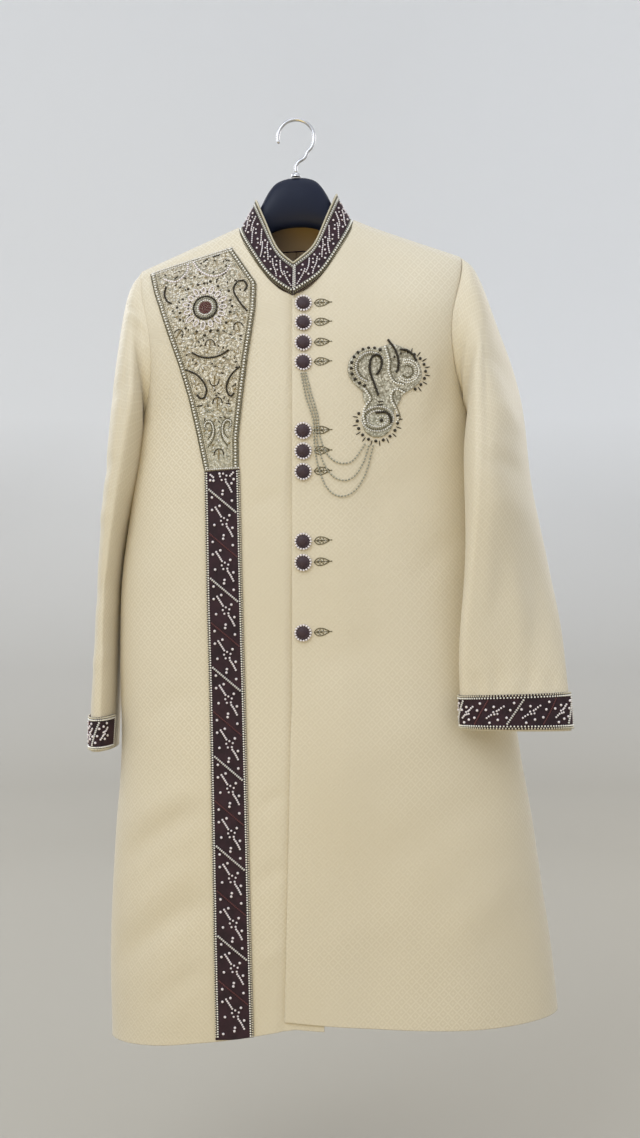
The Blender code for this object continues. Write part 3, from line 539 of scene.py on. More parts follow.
def crease_height(x, z, table):
    """How far the creases of a table stand out at a point."""
    total = 0.0
    for x0, z0, x1, z1, width, depth in table:
        run = math.hypot(x1 - x0, z1 - z0)
        right, up = (x1 - x0) / run, (z1 - z0) / run
        along = ((x - x0) * right + (z - z0) * up) / run
        across = (z - z0) * right - (x - x0) * up
        across = (across - CREASE_BOW * run * np.sin(math.pi * np.clip(along, 0, 1))) / width
        ends = fade(along, -0.10, 0.40) * (1 - fade(along, 0.60, 1.10))
        total = total + depth * ends * (1 - CREASE_SKEW * across) * bell(across, 1)
    return total


def wave_height(x, z):
    return sum(deep * np.sin(TURN * (across * x + down * z) + phase) for across, down, phase, deep in WAVES)


print(len(FRONT_CREASES) + len(BACK_CREASES), "creases placed on the body")

# %% [markdown]
# The finished surface is the plain body moved out along its own normal. The left front lies on the right one,
# so it stands out by one wall more around the closing edge. Body and sleeves swell a little where they meet.

# %% The dressed surface of the body
ARM_REST = np.array([
    # height z, how far body and sleeve swell towards each other
    (-0.345, 0.0), (-0.385, 0.0045), (-0.41, 0.0068), (-0.45, 0.006), (-0.52, 0.0044), (-0.76, 0.0036),
    (-0.88, 0.0),
])
SLEEVE_REST = np.array([
    # height z, how far the sleeve's front fold swells over the armhole
    (-0.27, 0.0), (-0.31, 0.0045), (-0.35, 0.009), (-0.385, 0.009), (-0.41, 0.0072), (-0.45, 0.006),
    (-0.52, 0.0044), (-0.76, 0.0036), (-0.88, 0.0),
])
ARM_FOCUS = 8  # the higher, the closer the swelling keeps to the body's sides
CALM_FROM, CALM_TO = 0.15, 0.24  # metres below the hook: the hanger keeps the cloth smooth above this


def cloth(angle, level, side):
    """Point and outward normal of the creased cloth."""
    at, normal = torso(angle, level, side), torso_normal(angle, level, side)
    x, z = at[..., 0], at[..., 2]
    table = BACK_CREASES if side == "back" else FRONT_CREASES
    out = (crease_height(x, z, table) + wave_height(x, z)) * fade(-z, CALM_FROM, CALM_TO)
    out = out + column(ARM_REST, 1, z) * np.sin(angle) ** ARM_FOCUS
    if side == "over":
        out = out + (CLOTH + 2 * SEAM) * (1 - fade(x, OVERLIE_TO, FLUSH_FROM))
    return at + normal * out[..., None], normal


def raised(place, height):
    """A place function that starts a height above another."""
    return lambda spots, out: place(spots, np.asarray(out) + height)


def on_front(side):
    """A place function for one front: x and z to points and normals that far out from the cloth."""

    def place(spots, out):
        x, z = spots[..., 0], spots[..., 1]
        level = level_at(x, z, side)
        point, normal = cloth(angle_at(x, level), level, side)
        point = point + normal * np.asarray(out)[..., None]
        point[..., 1] -= SEAM / 2
        return hung(point), normal

    return place


on_left, on_right = on_front("over"), on_front("under")
print("beside the buttons:", np.round(on_left(np.array([[0.01, -0.5]]), 0.0)[0], 4))

# %% [markdown]
# ## Sheets of cloth
# Every cloth piece is a grid from Blender's own create_grid, laid on the surface row by row, with its own UV
# map in metres, so the weave keeps its size wherever the cloth turns. Solidify then gives it a wall, with the
# lining's look on the inside.


# %% Making one sheet of cloth
def mesh_of(name, points, uv, looks, outwards):
    """An object from a grid of points; rows or columns that lie on each other are sewn together."""
    bm = bmesh.new()
    uv_layer = bm.loops.layers.uv.new("UVMap")
    rows, columns = points.shape[:2]
    points, uv = points.reshape(-1, 3), uv.reshape(-1, 2)
    made = bmesh.ops.create_grid(bm, x_segments=columns - 1, y_segments=rows - 1, size=1)["verts"]
    made.sort(key=lambda v: (round(v.co.y, 5), round(v.co.x, 5)))
    number = {vert: i for i, vert in enumerate(made)}
    for vert, i in number.items():
        vert.co = points[i]
    for face in bm.faces:
        for loop in face.loops:
            loop[uv_layer].uv = uv[number[loop.vert]]
    bmesh.ops.remove_doubles(bm, verts=bm.verts, dist=2e-5)
    bm.normal_update()
    lean = sum(face.normal.dot(Vector(outwards(face.calc_center_median()))) for face in bm.faces)
    if lean < 0:
        bmesh.ops.reverse_faces(bm, faces=bm.faces)
    return object_of(name, bm, looks)


def sheet_of(name, points, uv, looks, wall, outwards):
    """Cloth from a grid, with a wall behind its face and the last look on the inside."""
    made = mesh_of(name, points, uv, looks, outwards)
    solidify = made.modifiers.new("wall", "SOLIDIFY")
    solidify.thickness = wall
    solidify.offset = -1
    solidify.material_offset = len(looks) - 1
    solidify.material_offset_rim = 0
    return made


def area_of(points):
    """Area of a grid of points, in square metres."""
    a = points[1:, :-1] - points[:-1, :-1]
    b = points[:-1, 1:] - points[:-1, :-1]
    return np.linalg.norm(np.cross(a, b), axis=-1).sum()


def from_axis(centre):
    """Outwards, seen from the coat's middle line."""
    return (centre.x - 0.03, centre.y, 0)


# %% [markdown]
# ### The brocade
# Satin brocade has a small figure in its own colour: a lattice of diamonds with a seed in each. The figure
# floats more thread than the ground, so it is smoother. The light it catches is also painted into its
# colour: a lighter ivory, a painted sheen that shows more strongly in noise patches. The pattern is drawn
# with maths nodes on the cloth's UV map, in metres.


# %% Ivory brocade
IVORY = (0.672, 0.602, 0.466)
# painted sheen: the figure's lighter ivory stands for the light its smoother floats catch
IVORY_FIGURE_SHEEN = (0.782, 0.717, 0.582)
IVORY_WARM = (0.636, 0.55, 0.384)
DIAMOND_WIDE, DIAMOND_TALL = 0.012, 0.0125  # metres
LATTICE_LINE, LATTICE_SEED = (0.05, 0.13), (0.30, 0.40)  # how far out the lines fade and the seeds come in
FIGURE_SHEEN_PATCHES, FIGURE_SHEEN_LEAST = 0.46, 0.13  # how strongly the figure shows: in patches, and everywhere
WARM_SHARE = 0.35  # the most of the warm tone that the ground takes on
GROUND_ROUGH, FIGURE_SMOOTHER = 0.66, 0.16  # the ground's roughness, and how much less the figure has

BROCADE = finish_of("ivory_brocade", IVORY, 0.60, Sheen_Weight=0.18, Sheen_Roughness=0.5)
tree = BROCADE.node_tree
uv = node(tree, "ShaderNodeUVMap", uv_map="UVMap").outputs[0]
split = node(tree, "ShaderNodeSeparateXYZ", uv)
across = maths(tree, "DIVIDE", split.outputs[0], DIAMOND_WIDE)
down = maths(tree, "DIVIDE", split.outputs[1], DIAMOND_TALL)
one = maths(tree, "PINGPONG", maths(tree, "ADD", across, down), 0.5)
two = maths(tree, "PINGPONG", maths(tree, "SUBTRACT", across, down), 0.5)
nearest = maths(tree, "MINIMUM", one, two)  # distance from the lattice's nearest line
lines = maths(tree, "SUBTRACT", 1.0, step_up(tree, nearest, *LATTICE_LINE))
figure = maths(tree, "MAXIMUM", lines, step_up(tree, nearest, *LATTICE_SEED))
place = places(tree)
mottle = step_up(tree, noise(tree, place, 3.2, 3.0), 0.38, 0.72)
ground = blend_colours(tree, maths(tree, "MULTIPLY", mottle, WARM_SHARE), IVORY, IVORY_WARM)
# painted sheen: noise patches where the figure's lighter colour shows more strongly
seen = step_up(tree, noise(tree, place, 4.0, 2.0), 0.35, 0.62)
share = maths(tree, "MULTIPLY_ADD", seen, FIGURE_SHEEN_PATCHES, FIGURE_SHEEN_LEAST)
feed(tree, "Base Color", blend_colours(tree, maths(tree, "MULTIPLY", figure, share), ground, IVORY_FIGURE_SHEEN))
smoother = maths(tree, "MULTIPLY", figure, FIGURE_SMOOTHER)
feed(tree, "Roughness", maths(tree, "SUBTRACT", GROUND_ROUGH, smoother))
weave = maths(tree, "MULTIPLY", noise(tree, uv, 1400.0, 1.0), 0.5)
bump(tree, maths(tree, "ADD", maths(tree, "MULTIPLY", figure, 0.7), weave), 0.00022, 0.75)
LINING = finish_of("gold_lining", (0.50, 0.36, 0.22), 0.45, Sheen_Weight=0.15)
print("diamonds of the figure:", DIAMOND_WIDE, "by", DIAMOND_TALL, "m")

# %% [markdown]
# ### Fronts and back
# Four panels, each cut in one from shoulder to hem, the back with a seam down its middle. Near a seam the
# cloth dips a little, because the seam allowance pulls it in: that is the fine dark line seen at a real
# seam.

# %% Rows and columns of the panels
ROW_STRETCHES = [
    # from level, to level, rows
    (SHOULDER_LEVEL, -0.158, 10),
    (-0.158, BACK_NECK_LEVEL, 8),
    (BACK_NECK_LEVEL, CLOSING_LEVEL, 18),
    (CLOSING_LEVEL, ARMPIT_LEVEL, 26),
    (ARMPIT_LEVEL, HEM_LEVEL + 0.006, 134),
]
PANEL_COLUMNS = 56
EDGE_SHARES = np.array([0, 0.004, 0.009, 0.016, 0.026])
SEAM_DIP, SEAM_REACH = 0.0005, 0.0022  # metres
SEAM_SHOWS = {"over": 1.0, "under": 0.25, "back": 0.6}  # how much of the dip each armhole has
PLACKET_DIP, PLACKET_REACH = 0.0034, 0.0028  # the under front sinks this much beside the closing edge
PLACKET_AWAY = 0.0012  # it is deepest this far outside that edge
DENSE = 120  # spots along a row before it is divided evenly

ROWS = [np.linspace(start, end, count, endpoint=False) for start, end, count in ROW_STRETCHES]
ROWS = np.concatenate(ROWS + [[HEM_LEVEL + 0.006, HEM_LEVEL + 0.003, HEM_LEVEL + 0.001, HEM_LEVEL]])
ACROSS = np.linspace(EDGE_SHARES[-1], 1 - EDGE_SHARES[-1], PANEL_COLUMNS)
ACROSS = np.concatenate([EDGE_SHARES[:-1], ACROSS, 1 - EDGE_SHARES[-2::-1]])


def inner_edge(side, direction, level):
    """x of a panel's inner edge: the neckline, then the closing edge or the centre of the back."""
    if side == "back":
        return direction * column(BACK_NECKLINE, 1, level) if level > BACK_NECK_LEVEL else 0.0
    if level > CLOSING_LEVEL:
        return direction * column(NECKLINE, 1, level)
    return straight(CLOSING_EDGE if side == "over" else UNDER_EDGE, 1, level)


def panel(side, direction):
    """Grid of one half of the body from its inner edge to its side, as points and uv."""
    front = side != "back"
    points, across_cloth = [], []
    for level in ROWS:
        start_x = inner_edge(side, direction, level)
        dense = np.linspace(angle_at(start_x, level, front), armhole_angle(level, direction, front), DENSE)
        run = running(torso(dense, level, side))
        across = ACROSS * run[-1]
        at, normal = cloth(np.interp(across, run, dense), level, side)
        dip = SEAM_DIP * SEAM_SHOWS[side] * bell((1 - ACROSS) * run[-1], SEAM_REACH)
        if side == "back" or side == "over" and level < CLOSING_LEVEL:
            dip = dip + SEAM_DIP * bell(across, SEAM_REACH) * (level < BACK_NECK_LEVEL)
        if side == "under" and level < CLOSING_LEVEL:
            beside = at[:, 0] - straight(CLOSING_EDGE, 1, level) + PLACKET_AWAY
            dip = dip + PLACKET_DIP * bell(beside, PLACKET_REACH)
        points.append(at - normal * dip[:, None])
        across_cloth.append((abs(start_x) + across) * direction)
    points = np.array(points)
    points[..., 1] += -SEAM / 2 if front else SEAM / 2
    return points, stacked(np.array(across_cloth), points[..., 2])


print(len(ROWS), "rows and", len(ACROSS), "columns in each panel")


def cloth_piece(name, points, uv, outwards=from_axis):
    made = sheet_of(name + "_cloth", hung(points), uv, (BROCADE, LINING), CLOTH, outwards)
    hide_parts(name)
    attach(made, "root")
    print(f"{name}: {area_of(points):.3f} square metres")


cloth_piece("front_left", *panel("over", 1))
cloth_piece("front_right", *panel("under", -1))
cloth_piece("back_left", *panel("back", 1))
cloth_piece("back_right", *panel("back", -1))

# %% [markdown]
# ### Sleeves
# A coat's sleeve is cut in two, a top sleeve over the arm and an under sleeve beneath it. Together they
# make a tube set into the armhole. It starts on the armhole's own edge and runs through a few rings that
# turn and flatten it as it hangs: the left one swings forward and shows its broad face, the right one hangs
# edge on.

# %% The sleeves' rings
SLEEVES = {
    "sleeve_left": [
        # cx, cy, cz, half axis to the arm's top line x, y, z, half axis to its front x, y, z
        (0.2355, -0.002, -0.301, 0.002, 0.0, 0.096, -0.012, -0.055, 0.0),
        (0.2475, -0.004, -0.3285, 0.009, 0.0, 0.0835, -0.008, -0.066, 0.0),
        (0.2575, -0.012, -0.3675, 0.016, 0.0, 0.062, -0.02, -0.074, 0.0),
        (0.267, -0.026, -0.42, 0.029, -0.006, 0.035, -0.031, -0.079, 0.0),
        (0.2665, -0.046, -0.5, 0.031, -0.018, 0.01, -0.033, -0.079, 0.0),
        (0.276, -0.062, -0.6, 0.022, -0.022, 0.003, -0.052, -0.056, 0.0),
        (0.281, -0.079, -0.69, 0.01, -0.021, 0.0, -0.065, -0.029, 0.0),
        (0.2825, -0.089, -0.76, 0.003, -0.018, 0.0, -0.0685, -0.012, 0.002),
        (0.285, -0.096, -0.8245, 0.0, -0.016, 0.0, -0.07, -0.004, 0.005),
    ],
    "sleeve_right": [
        # cx, cy, cz, half axis to the arm's top line x, y, z, half axis to its front x, y, z
        (-0.22, 0.002, -0.299, -0.002, 0.0, 0.0945, 0.01, -0.055, 0.0),
        (-0.2225, 0.004, -0.3325, -0.012, 0.0, 0.0825, 0.006, -0.066, 0.0),
        (-0.2275, 0.008, -0.38, -0.016, 0.0, 0.06, 0.003, -0.073, 0.0),
        (-0.234, 0.014, -0.445, -0.018, 0.0, 0.03, 0.0, -0.076, 0.0),
        (-0.244, 0.02, -0.52, -0.0165, 0.0, 0.008, 0.0, -0.076, 0.0),
        (-0.253, 0.022, -0.61, -0.0145, 0.0, 0.0, -0.001, -0.075, 0.0),
        (-0.256, 0.021, -0.71, -0.015, 0.0, 0.0, -0.002, -0.073, 0.0),
        (-0.259, 0.019, -0.774, -0.015, 0.0, 0.0, -0.001, -0.071, 0.0),
        (-0.2605, 0.018, -0.8285, -0.0145, 0.0, 0.0, 0.0, -0.07, 0.002),
    ],
}
SLEEVE_CREASES = {
    "sleeve_left": [
        # from x, from z, to x, to z, half width, depth (+ stands out)
        (0.232, -0.25, 0.25, -0.345, 0.012, -0.002),
        (0.246, -0.33, 0.292, -0.395, 0.014, -0.0026),
        (0.252, -0.395, 0.3, -0.45, 0.012, 0.002),
        (0.24, -0.47, 0.3, -0.505, 0.013, -0.0024),
        (0.246, -0.52, 0.305, -0.56, 0.016, 0.0018),
        (0.262, -0.56, 0.25, -0.7, 0.014, -0.0022),
        (0.296, -0.58, 0.312, -0.745, 0.014, -0.002),
        (0.281, -0.62, 0.279, -0.76, 0.012, 0.0016),
        (0.228, -0.745, 0.236, -0.782, 0.006, -0.0016),
        (0.253, -0.735, 0.256, -0.783, 0.007, -0.0018),
        (0.279, -0.752, 0.276, -0.784, 0.006, 0.0014),
        (0.301, -0.738, 0.297, -0.783, 0.007, -0.0018),
        (0.326, -0.75, 0.331, -0.783, 0.006, -0.0014),
    ],
    "sleeve_right": [
        # from x, from z, to x, to z, half width, depth (+ stands out)
        (-0.228, -0.238, -0.198, -0.258, 0.0055, -0.0026),
        (-0.226, -0.251, -0.197, -0.273, 0.006, 0.0018),
        (-0.219, -0.262, -0.192, -0.294, 0.006, -0.0028),
        (-0.214, -0.33, -0.244, -0.372, 0.009, -0.002),
        (-0.236, -0.44, -0.262, -0.47, 0.01, -0.0022),
        (-0.24, -0.505, -0.266, -0.528, 0.01, 0.0018),
        (-0.244, -0.59, -0.27, -0.64, 0.012, -0.002),
        (-0.248, -0.69, -0.272, -0.72, 0.01, 0.0014),
    ],
}
RING_ROWS, SLEEVE_COLUMNS = 14, 72
HEAD_EASING, ROUND_EASING = 60, 14  # rounds of smoothing along and round the arm, for a soft sleeve head
FRONT_SEAM, HIND_SEAM = 20, 52  # the columns where the top sleeve meets the under sleeve
HIND_CREASES = 0.35  # how much of its depth a crease keeps on the side away from the front
ARM_WAVES = 0.6  # the body's waves, less high and closer together, run over the sleeves as well
BESIDE_SEAM = np.array([0.04, 0.12, 0.3, 0.6])  # extra columns, so the shading runs on across a seam
print(len(SLEEVES["sleeve_left"]), "rings below each armhole")


# %% Setting the sleeves in
def sleeve(name, direction, side):
    """Points and normals of a sleeve's tube; its first row is the armhole's edge."""
    angles = np.linspace(0, TURN, SLEEVE_COLUMNS + 1)
    levels = SHOULDER_LEVEL + (1 - np.cos(angles)) / 2 * (ARMPIT_LEVEL - SHOULDER_LEVEL)
    front, _ = cloth(armhole_angle(levels, direction), levels, side)
    back, _ = cloth(armhole_angle(levels, direction, False), levels, "back")
    rings = [np.where((angles <= math.pi)[:, None], front, back) - (direction * SLEEVE_TUCK, 0, 0)]
    for row in SLEEVES[name]:
        centre, to_top, to_front = np.array(row).reshape(3, 3)
        rings.append(centre + np.cos(angles)[:, None] * to_top + np.sin(angles)[:, None] * to_front)
    at = np.linspace(0, len(rings) - 1, (len(rings) - 1) * RING_ROWS + 1)
    grid = smooth_through(np.arange(len(rings)), np.array(rings).reshape(len(rings), -1), at)
    grid = grid.reshape(len(at), -1, 3)
    for _ in range(HEAD_EASING):
        grid[1:-1] = eased(grid)
    share = (fade(at, 0.0, 0.5) * (1 - fade(at, 3.0, 5.0)))[:, None, None]
    for _ in range(ROUND_EASING):
        ring = grid[:, :-1]
        ring = (np.roll(ring, 1, axis=1) + 2 * ring + np.roll(ring, -1, axis=1)) / 4
        grid = grid + (np.concatenate([ring, ring[:, :1]], axis=1) - grid) * share
    around = np.roll(grid[:, :-1], -1, axis=1) - np.roll(grid[:, :-1], 1, axis=1)
    around = np.concatenate([around, around[:, :1]], axis=1)
    normal = unit(np.cross(around, np.gradient(grid, axis=0)))
    if (normal * (grid - grid.mean(axis=1, keepdims=True))).sum() < 0:
        normal = -normal
    x, z = grid[..., 0], grid[..., 2]
    facing = HIND_CREASES + (1 - HIND_CREASES) * fade(-normal[..., 1], -0.3, 0.4)
    waves = ARM_WAVES * wave_height(2.0 * x, 1.5 * z + grid[..., 1])
    out = crease_height(x, z, SLEEVE_CREASES[name]) * facing + waves
    out *= fade(at, 0.0, 0.6)[:, None]
    inwards = fade(-direction * normal[..., 0], -0.1, 0.7)
    out = out + column(SLEEVE_REST, 1, z) * inwards * fade(at, 0.2, 1.3)[:, None]
    out = out - SEAM_DIP * SEAM_SHOWS[side] * bell(np.linalg.norm(grid - grid[:1], axis=-1), SEAM_REACH)
    for seam in (FRONT_SEAM, HIND_SEAM):
        away = np.linalg.norm(grid - grid[:, seam : seam + 1], axis=-1)
        out = out - SEAM_DIP / 4 * bell(away, SEAM_REACH) * fade(at, 4.0, 6.0)[:, None]
    return grid + normal * out[..., None], normal


def tube_uv(grid):
    """Lengths round and down a tube of rings, in metres."""
    around = np.cumsum(np.linalg.norm(np.diff(grid, axis=1, prepend=grid[:, :1]), axis=-1), axis=1)
    down = np.cumsum(np.linalg.norm(np.diff(grid, axis=0, prepend=grid[:1]), axis=-1).mean(axis=1))
    whole = around[:, -1:]
    return stacked(around / whole * whole.mean(), np.broadcast_to(-down[:, None], around.shape))


def between_seams(tube, start, end):
    """The columns of a tube from one seam to the next, closer together beside the seams."""
    inner = np.arange(start + 1, end)
    columns = np.concatenate([[start], start + BESIDE_SEAM, inner, end - BESIDE_SEAM[::-1], [end]])
    twice_round = np.concatenate([tube[:, :-1], tube[:, :-1], tube[:, :2]], axis=1)
    keys = np.arange(twice_round.shape[1])
    lines = np.moveaxis(twice_round, 1, 0).reshape(len(keys), -1)
    return np.moveaxis(smooth_through(keys, lines, columns).reshape(len(columns), -1, 3), 0, 1)


ARMS = {"sleeve_left": sleeve("sleeve_left", 1, "over"), "sleeve_right": sleeve("sleeve_right", -1, "under")}
for name, (tube, _) in ARMS.items():
    axis = hung(tube).mean(axis=1)

    def from_arm(centre, axis=axis):
        return centre - Vector(axis[np.abs(axis[:, 2] - centre.z).argmin()])

    top_part = between_seams(tube, HIND_SEAM, SLEEVE_COLUMNS + FRONT_SEAM)
    cloth_piece("top_" + name, top_part, tube_uv(top_part), from_arm)
    under_part = between_seams(tube, FRONT_SEAM, HIND_SEAM)
    cloth_piece("under_" + name, under_part, tube_uv(under_part), from_arm)

# %% [markdown]
# ## Beads
# Beads are what make the trims sparkle, and there are thousands, so each is a small template of a few dozen
# faces laid again and again. A place function turns a spot on a piece into a point and a normal; every bead
# then gets its own frame there: along the row, across it, and out of the cloth.


# %% Bead templates
def template_of(segments, rings):
    """A unit bead, as a small mesh to copy."""
    bm = bmesh.new()
    bmesh.ops.create_uvsphere(bm, u_segments=segments, v_segments=rings, radius=1)
    mesh = bpy.data.meshes.new("bead_template")
    bm.to_mesh(mesh)
    bm.free()
    return mesh


ROUND_BEAD = template_of(8, 5)
SEED_BEAD = template_of(6, 4)
print("faces of a bead:", len(ROUND_BEAD.polygons), "or", len(SEED_BEAD.polygons))

# %% The beads' and threads' looks
SILVER = finish_of("silver_bead", (0.74, 0.72, 0.69), 0.32, Metallic=0.30)
PEARL = finish_of("pearl", (0.86, 0.80, 0.83), 0.28, Coat_Weight=0.4)
CREAM_BEAD = finish_of("cream_bead", (0.62, 0.57, 0.44), 0.40, Metallic=0.10)
GREY_BEAD = finish_of("grey_bead", (0.34, 0.34, 0.28), 0.38, Metallic=0.35)
BRONZE = finish_of("bronze_bead", (0.034, 0.026, 0.016), 0.40, Metallic=0.30)
GOLD_BEAD = finish_of("old_gold_bead", (0.32, 0.24, 0.11), 0.40, Metallic=0.35)
COPPER_BEAD = finish_of("copper_bead", (0.130, 0.042, 0.044), 0.40, Metallic=0.25)
OLIVE_THREAD = finish_of("olive_thread", (0.150, 0.130, 0.075), 0.50, Metallic=0.15)
GLASS_BEAD = finish_of("glass_bead", (0.90, 0.88, 0.82), 0.16, Coat_Weight=0.6)
BEAD_LOOKS = [SILVER, PEARL, CREAM_BEAD, GREY_BEAD, BRONZE, GOLD_BEAD, COPPER_BEAD, OLIVE_THREAD, GLASS_BEAD]
EDGE_BEAD = (0.0025, 0.0026, 0.0021)  # length, width and height in metres
EDGE_CORD = (0.0022, 0.0028, 0.0019)
COPPER_SEED = (0.0025, 0.0023, 0.0016)
SPRAY = {
    # kind of motif: beads' pitch and size and their look, or the size and look of one alone
    "stem": (0.003, (0.0029, 0.003, 0.0024), PEARL),
    "diagonal": (0.0029, (0.0027, 0.0033, 0.0026), SILVER),
    "copper": (0.0024, COPPER_SEED, COPPER_BEAD),
    "pearl": (0.0037, PEARL),
    "petal": (0.003, PEARL),
}
print(len(BEAD_LOOKS), "looks of beads")


# %% Laying beads
def rays(angles):
    """Directions at angles in radians from the x axis."""
    return stacked(np.cos(angles), np.sin(angles))


def circle(centre, radius, start=0.0, turn=TURN, count=25):
    """Spots on a circle, evenly spaced, closed or not."""
    return np.array(centre) + radius * rays(start + turn * np.linspace(0, 1, count))


def alone(kind, *spots):
    """Each spot as a motif of its own."""
    return [(kind, [spot]) for spot in spots]


def spaced(path, pitch):
    """Spots a set distance apart on a smooth curve through a few given ones, and the directions there."""
    path = np.array(path, float)
    at = np.linspace(0, len(path) - 1, 60 * len(path))
    straight_on = path[0] + (path[1] - path[0]) * at[:, None]
    line = smooth_through(np.arange(len(path)), path, at) if len(path) > 2 else straight_on
    run = running(line)
    count = max(int(round(run[-1] / pitch)), 1)
    at = (np.arange(count) + 0.5) / count * run[-1]

    def along(run_to):
        return stacked(*(np.interp(run_to, run, values) for values in line.T))

    return along(at), unit(along(at + pitch / 4) - along(at - pitch / 4))


def worn(made, slot, *nodes):
    """Puts a finished piece in place of its solids, which are hidden, and lets it ride on the coat."""
    if nodes:
        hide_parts(*nodes)
    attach(made, "root")
    return made


class Beadwork:
    """The beads of one piece, gathered group by group on a place function."""

    def __init__(self, place):
        self.place, self.groups = place, []

    def lay(self, spots, directions, size, look, base=0.0):
        """Beads of a size (length, width, height), half sunk into the surface, all in one look."""
        out = base + 0.3 * size[2]
        centre, normal = self.place(spots, out)
        tangent = unit(self.place(spots + directions * 1e-3, out)[0] - centre)
        side = unit(np.cross(normal, tangent))
        normal = np.cross(tangent, side)
        frames = np.stack([centre, tangent * size[0] / 2, side * size[1] / 2, normal * size[2] / 2], axis=1)
        self.groups.append((frames, BEAD_LOOKS.index(look)))

    def row(self, path, pitch, size, look, base=0.0):
        self.lay(*spaced(path, pitch), size, look, base)

    def beside(self, path, shift, pitch, size, look):
        """A row that keeps beside a path."""
        self.row(spaced(path, 0.004)[0] + shift, pitch, size, look)

    def dots(self, spots, diameter, look):
        spots = np.array(spots, float).reshape(-1, 2)
        self.lay(spots, np.array([1.0, 0.0]), (diameter, diameter, diameter * 0.8), look)

    def motif(self, kind, path, spray=SPRAY):
        put = self.row if len(path) > 1 else self.dots
        put(path, *spray[kind])

    def finish(self, name, slot, *nodes, template=SEED_BEAD):
        """One object with all the beads of the piece."""
        frames = np.concatenate([frames for frames, _ in self.groups])
        looks = np.concatenate([np.full(len(frames), look) for frames, look in self.groups])
        bm = bmesh.new()
        for _ in frames:
            bm.from_mesh(template)
        made = object_of(name, bm, BEAD_LOOKS)
        corners = np.empty(len(template.vertices) * 3)
        template.vertices.foreach_get("co", corners)
        placed = frames[:, None, 0] + np.einsum("vk,nkc->nvc", corners.reshape(-1, 3), frames[:, 1:])
        made.data.vertices.foreach_set("co", placed.ravel())
        made.data.polygons.foreach_set("material_index", np.repeat(looks, len(template.polygons)))
        made.data.update()
        print(f"{name}: {len(frames)} beads")
        return worn(made, slot, *nodes)


def on_grid(points, normals):
    """A place function for a piece with its own grid: spots are shares across and down it."""
    rows, columns = points.shape[:2]

    def place(spots, out):
        across = np.clip(spots[..., 0], 0, 1) * (columns - 1)
        down = np.clip(spots[..., 1], 0, 1) * (rows - 1)
        c = np.minimum(across.astype(int), columns - 2)
        r = np.minimum(down.astype(int), rows - 2)
        s, t = (across - c)[..., None], (down - r)[..., None]

        def between(values):
            upper = values[r, c] * (1 - s) + values[r, c + 1] * s
            lower = values[r + 1, c] * (1 - s) + values[r + 1, c + 1] * s
            return upper * (1 - t) + lower * t

        normal = unit(between(normals))
        return between(points) + normal * np.asarray(out)[..., None], normal

    return place


# %% [markdown]
# ## Velvet
# Velvet is dark face on and lighter where the pile is seen from the side, so a sheen does most of the work.

# %% Velvet
VELVET_DARK, VELVET_LIGHT = (0.017, 0.0062, 0.0105), (0.034, 0.0115, 0.019)
VELVET_SHEEN = {"Sheen_Weight": 0.22, "Sheen_Roughness": 0.35, "Sheen_Tint": (0.42, 0.16, 0.24, 1)}
VELVET = finish_of("maroon_velvet", VELVET_DARK, 0.85, **VELVET_SHEEN)
tree = VELVET.node_tree
place = places(tree)
pile = step_up(tree, noise(tree, place, 60.0, 3.0), 0.35, 0.7)
feed(tree, "Base Color", blend_colours(tree, pile, VELVET_DARK, VELVET_LIGHT))
bump(tree, noise(tree, place, 900.0, 2.0), 0.0002, 0.5)
CREAM_LINING = finish_of("collar_lining", (0.47, 0.32, 0.17), 0.6)
RIM_ROLL = 0.45  # how far a trim's rim goes down, as a share of its wall


def trim_piece(name, points, normals, outwards, looks=(VELVET, VELVET), wall=TRIM, slot="maroon_velvet"):
    """A trim with its rim rolled down all round, so that it lies on the cloth without a hard edge."""
    rows, columns = points.shape[:2]
    roll = np.ones((rows, columns))
    roll[1:-1, 1:-1] = 0
    points = points - normals * (roll * wall * RIM_ROLL)[..., None]
    uv = stacked(*np.meshgrid(np.linspace(0, 1, columns), np.linspace(1, 0, rows)))
    worn(sheet_of(name, points, uv, looks, wall, outwards), slot, name.rsplit("_", 1)[0])


def edged_shares(count, edge):
    """Even shares from 0 to 1 with a close pair at each end."""
    return np.concatenate([[0, edge], np.linspace(edge * 3, 1 - edge * 3, count), [1 - edge, 1]])


print("velvet", TRIM, "m thick, standing out", TRIM_OUT, "m")


# %% [markdown]
# ### The velvet strip
# It runs from the foot of the shoulder embroidery to the hem. Each border has a row of bright beads inside
# and a cream one outside. Silver diagonals and thin copper ones take turns, with a beaded flower between
# each two.

# %% The strip's velvet
VELVET_STRIP = np.array([
    # z, outer x, inner x
    (-0.4705, -0.1162, -0.0703), (-0.829, -0.1087, -0.0615), (-1.204, -0.1005, -0.052),
])
STRIP_TOP, STRIP_FOOT = VELVET_STRIP[0, 0], VELVET_STRIP[-1, 0]
ABOVE_HEM = 0.0004  # the strip ends this far above the hem


def on_strip(spots, out):
    """Place function for the strip: spots are a share across, from its outer edge, and a height z."""
    u, z = spots[..., 0], spots[..., 1]
    x = straight(VELVET_STRIP, 1, z) * (1 - u) + straight(VELVET_STRIP, 2, z) * u
    z = np.maximum(z, HEM_LEVEL + hem_rise(x, HEM_LEVEL, "under") + ABOVE_HEM)
    return on_right(stacked(x, z), np.asarray(out) + TRIM_OUT)


def forward(centre):
    return (0, -1, 0)


heights = STRIP_TOP + edged_shares(260, 0.0006) * (STRIP_FOOT + 0.006 - STRIP_TOP)
spots = stacked(*np.meshgrid(edged_shares(13, 0.012), heights))
trim_piece("velvet_strip_cloth", *on_strip(spots, 0.0), forward)
print("strip", round(STRIP_TOP - STRIP_FOOT, 3), "m long")

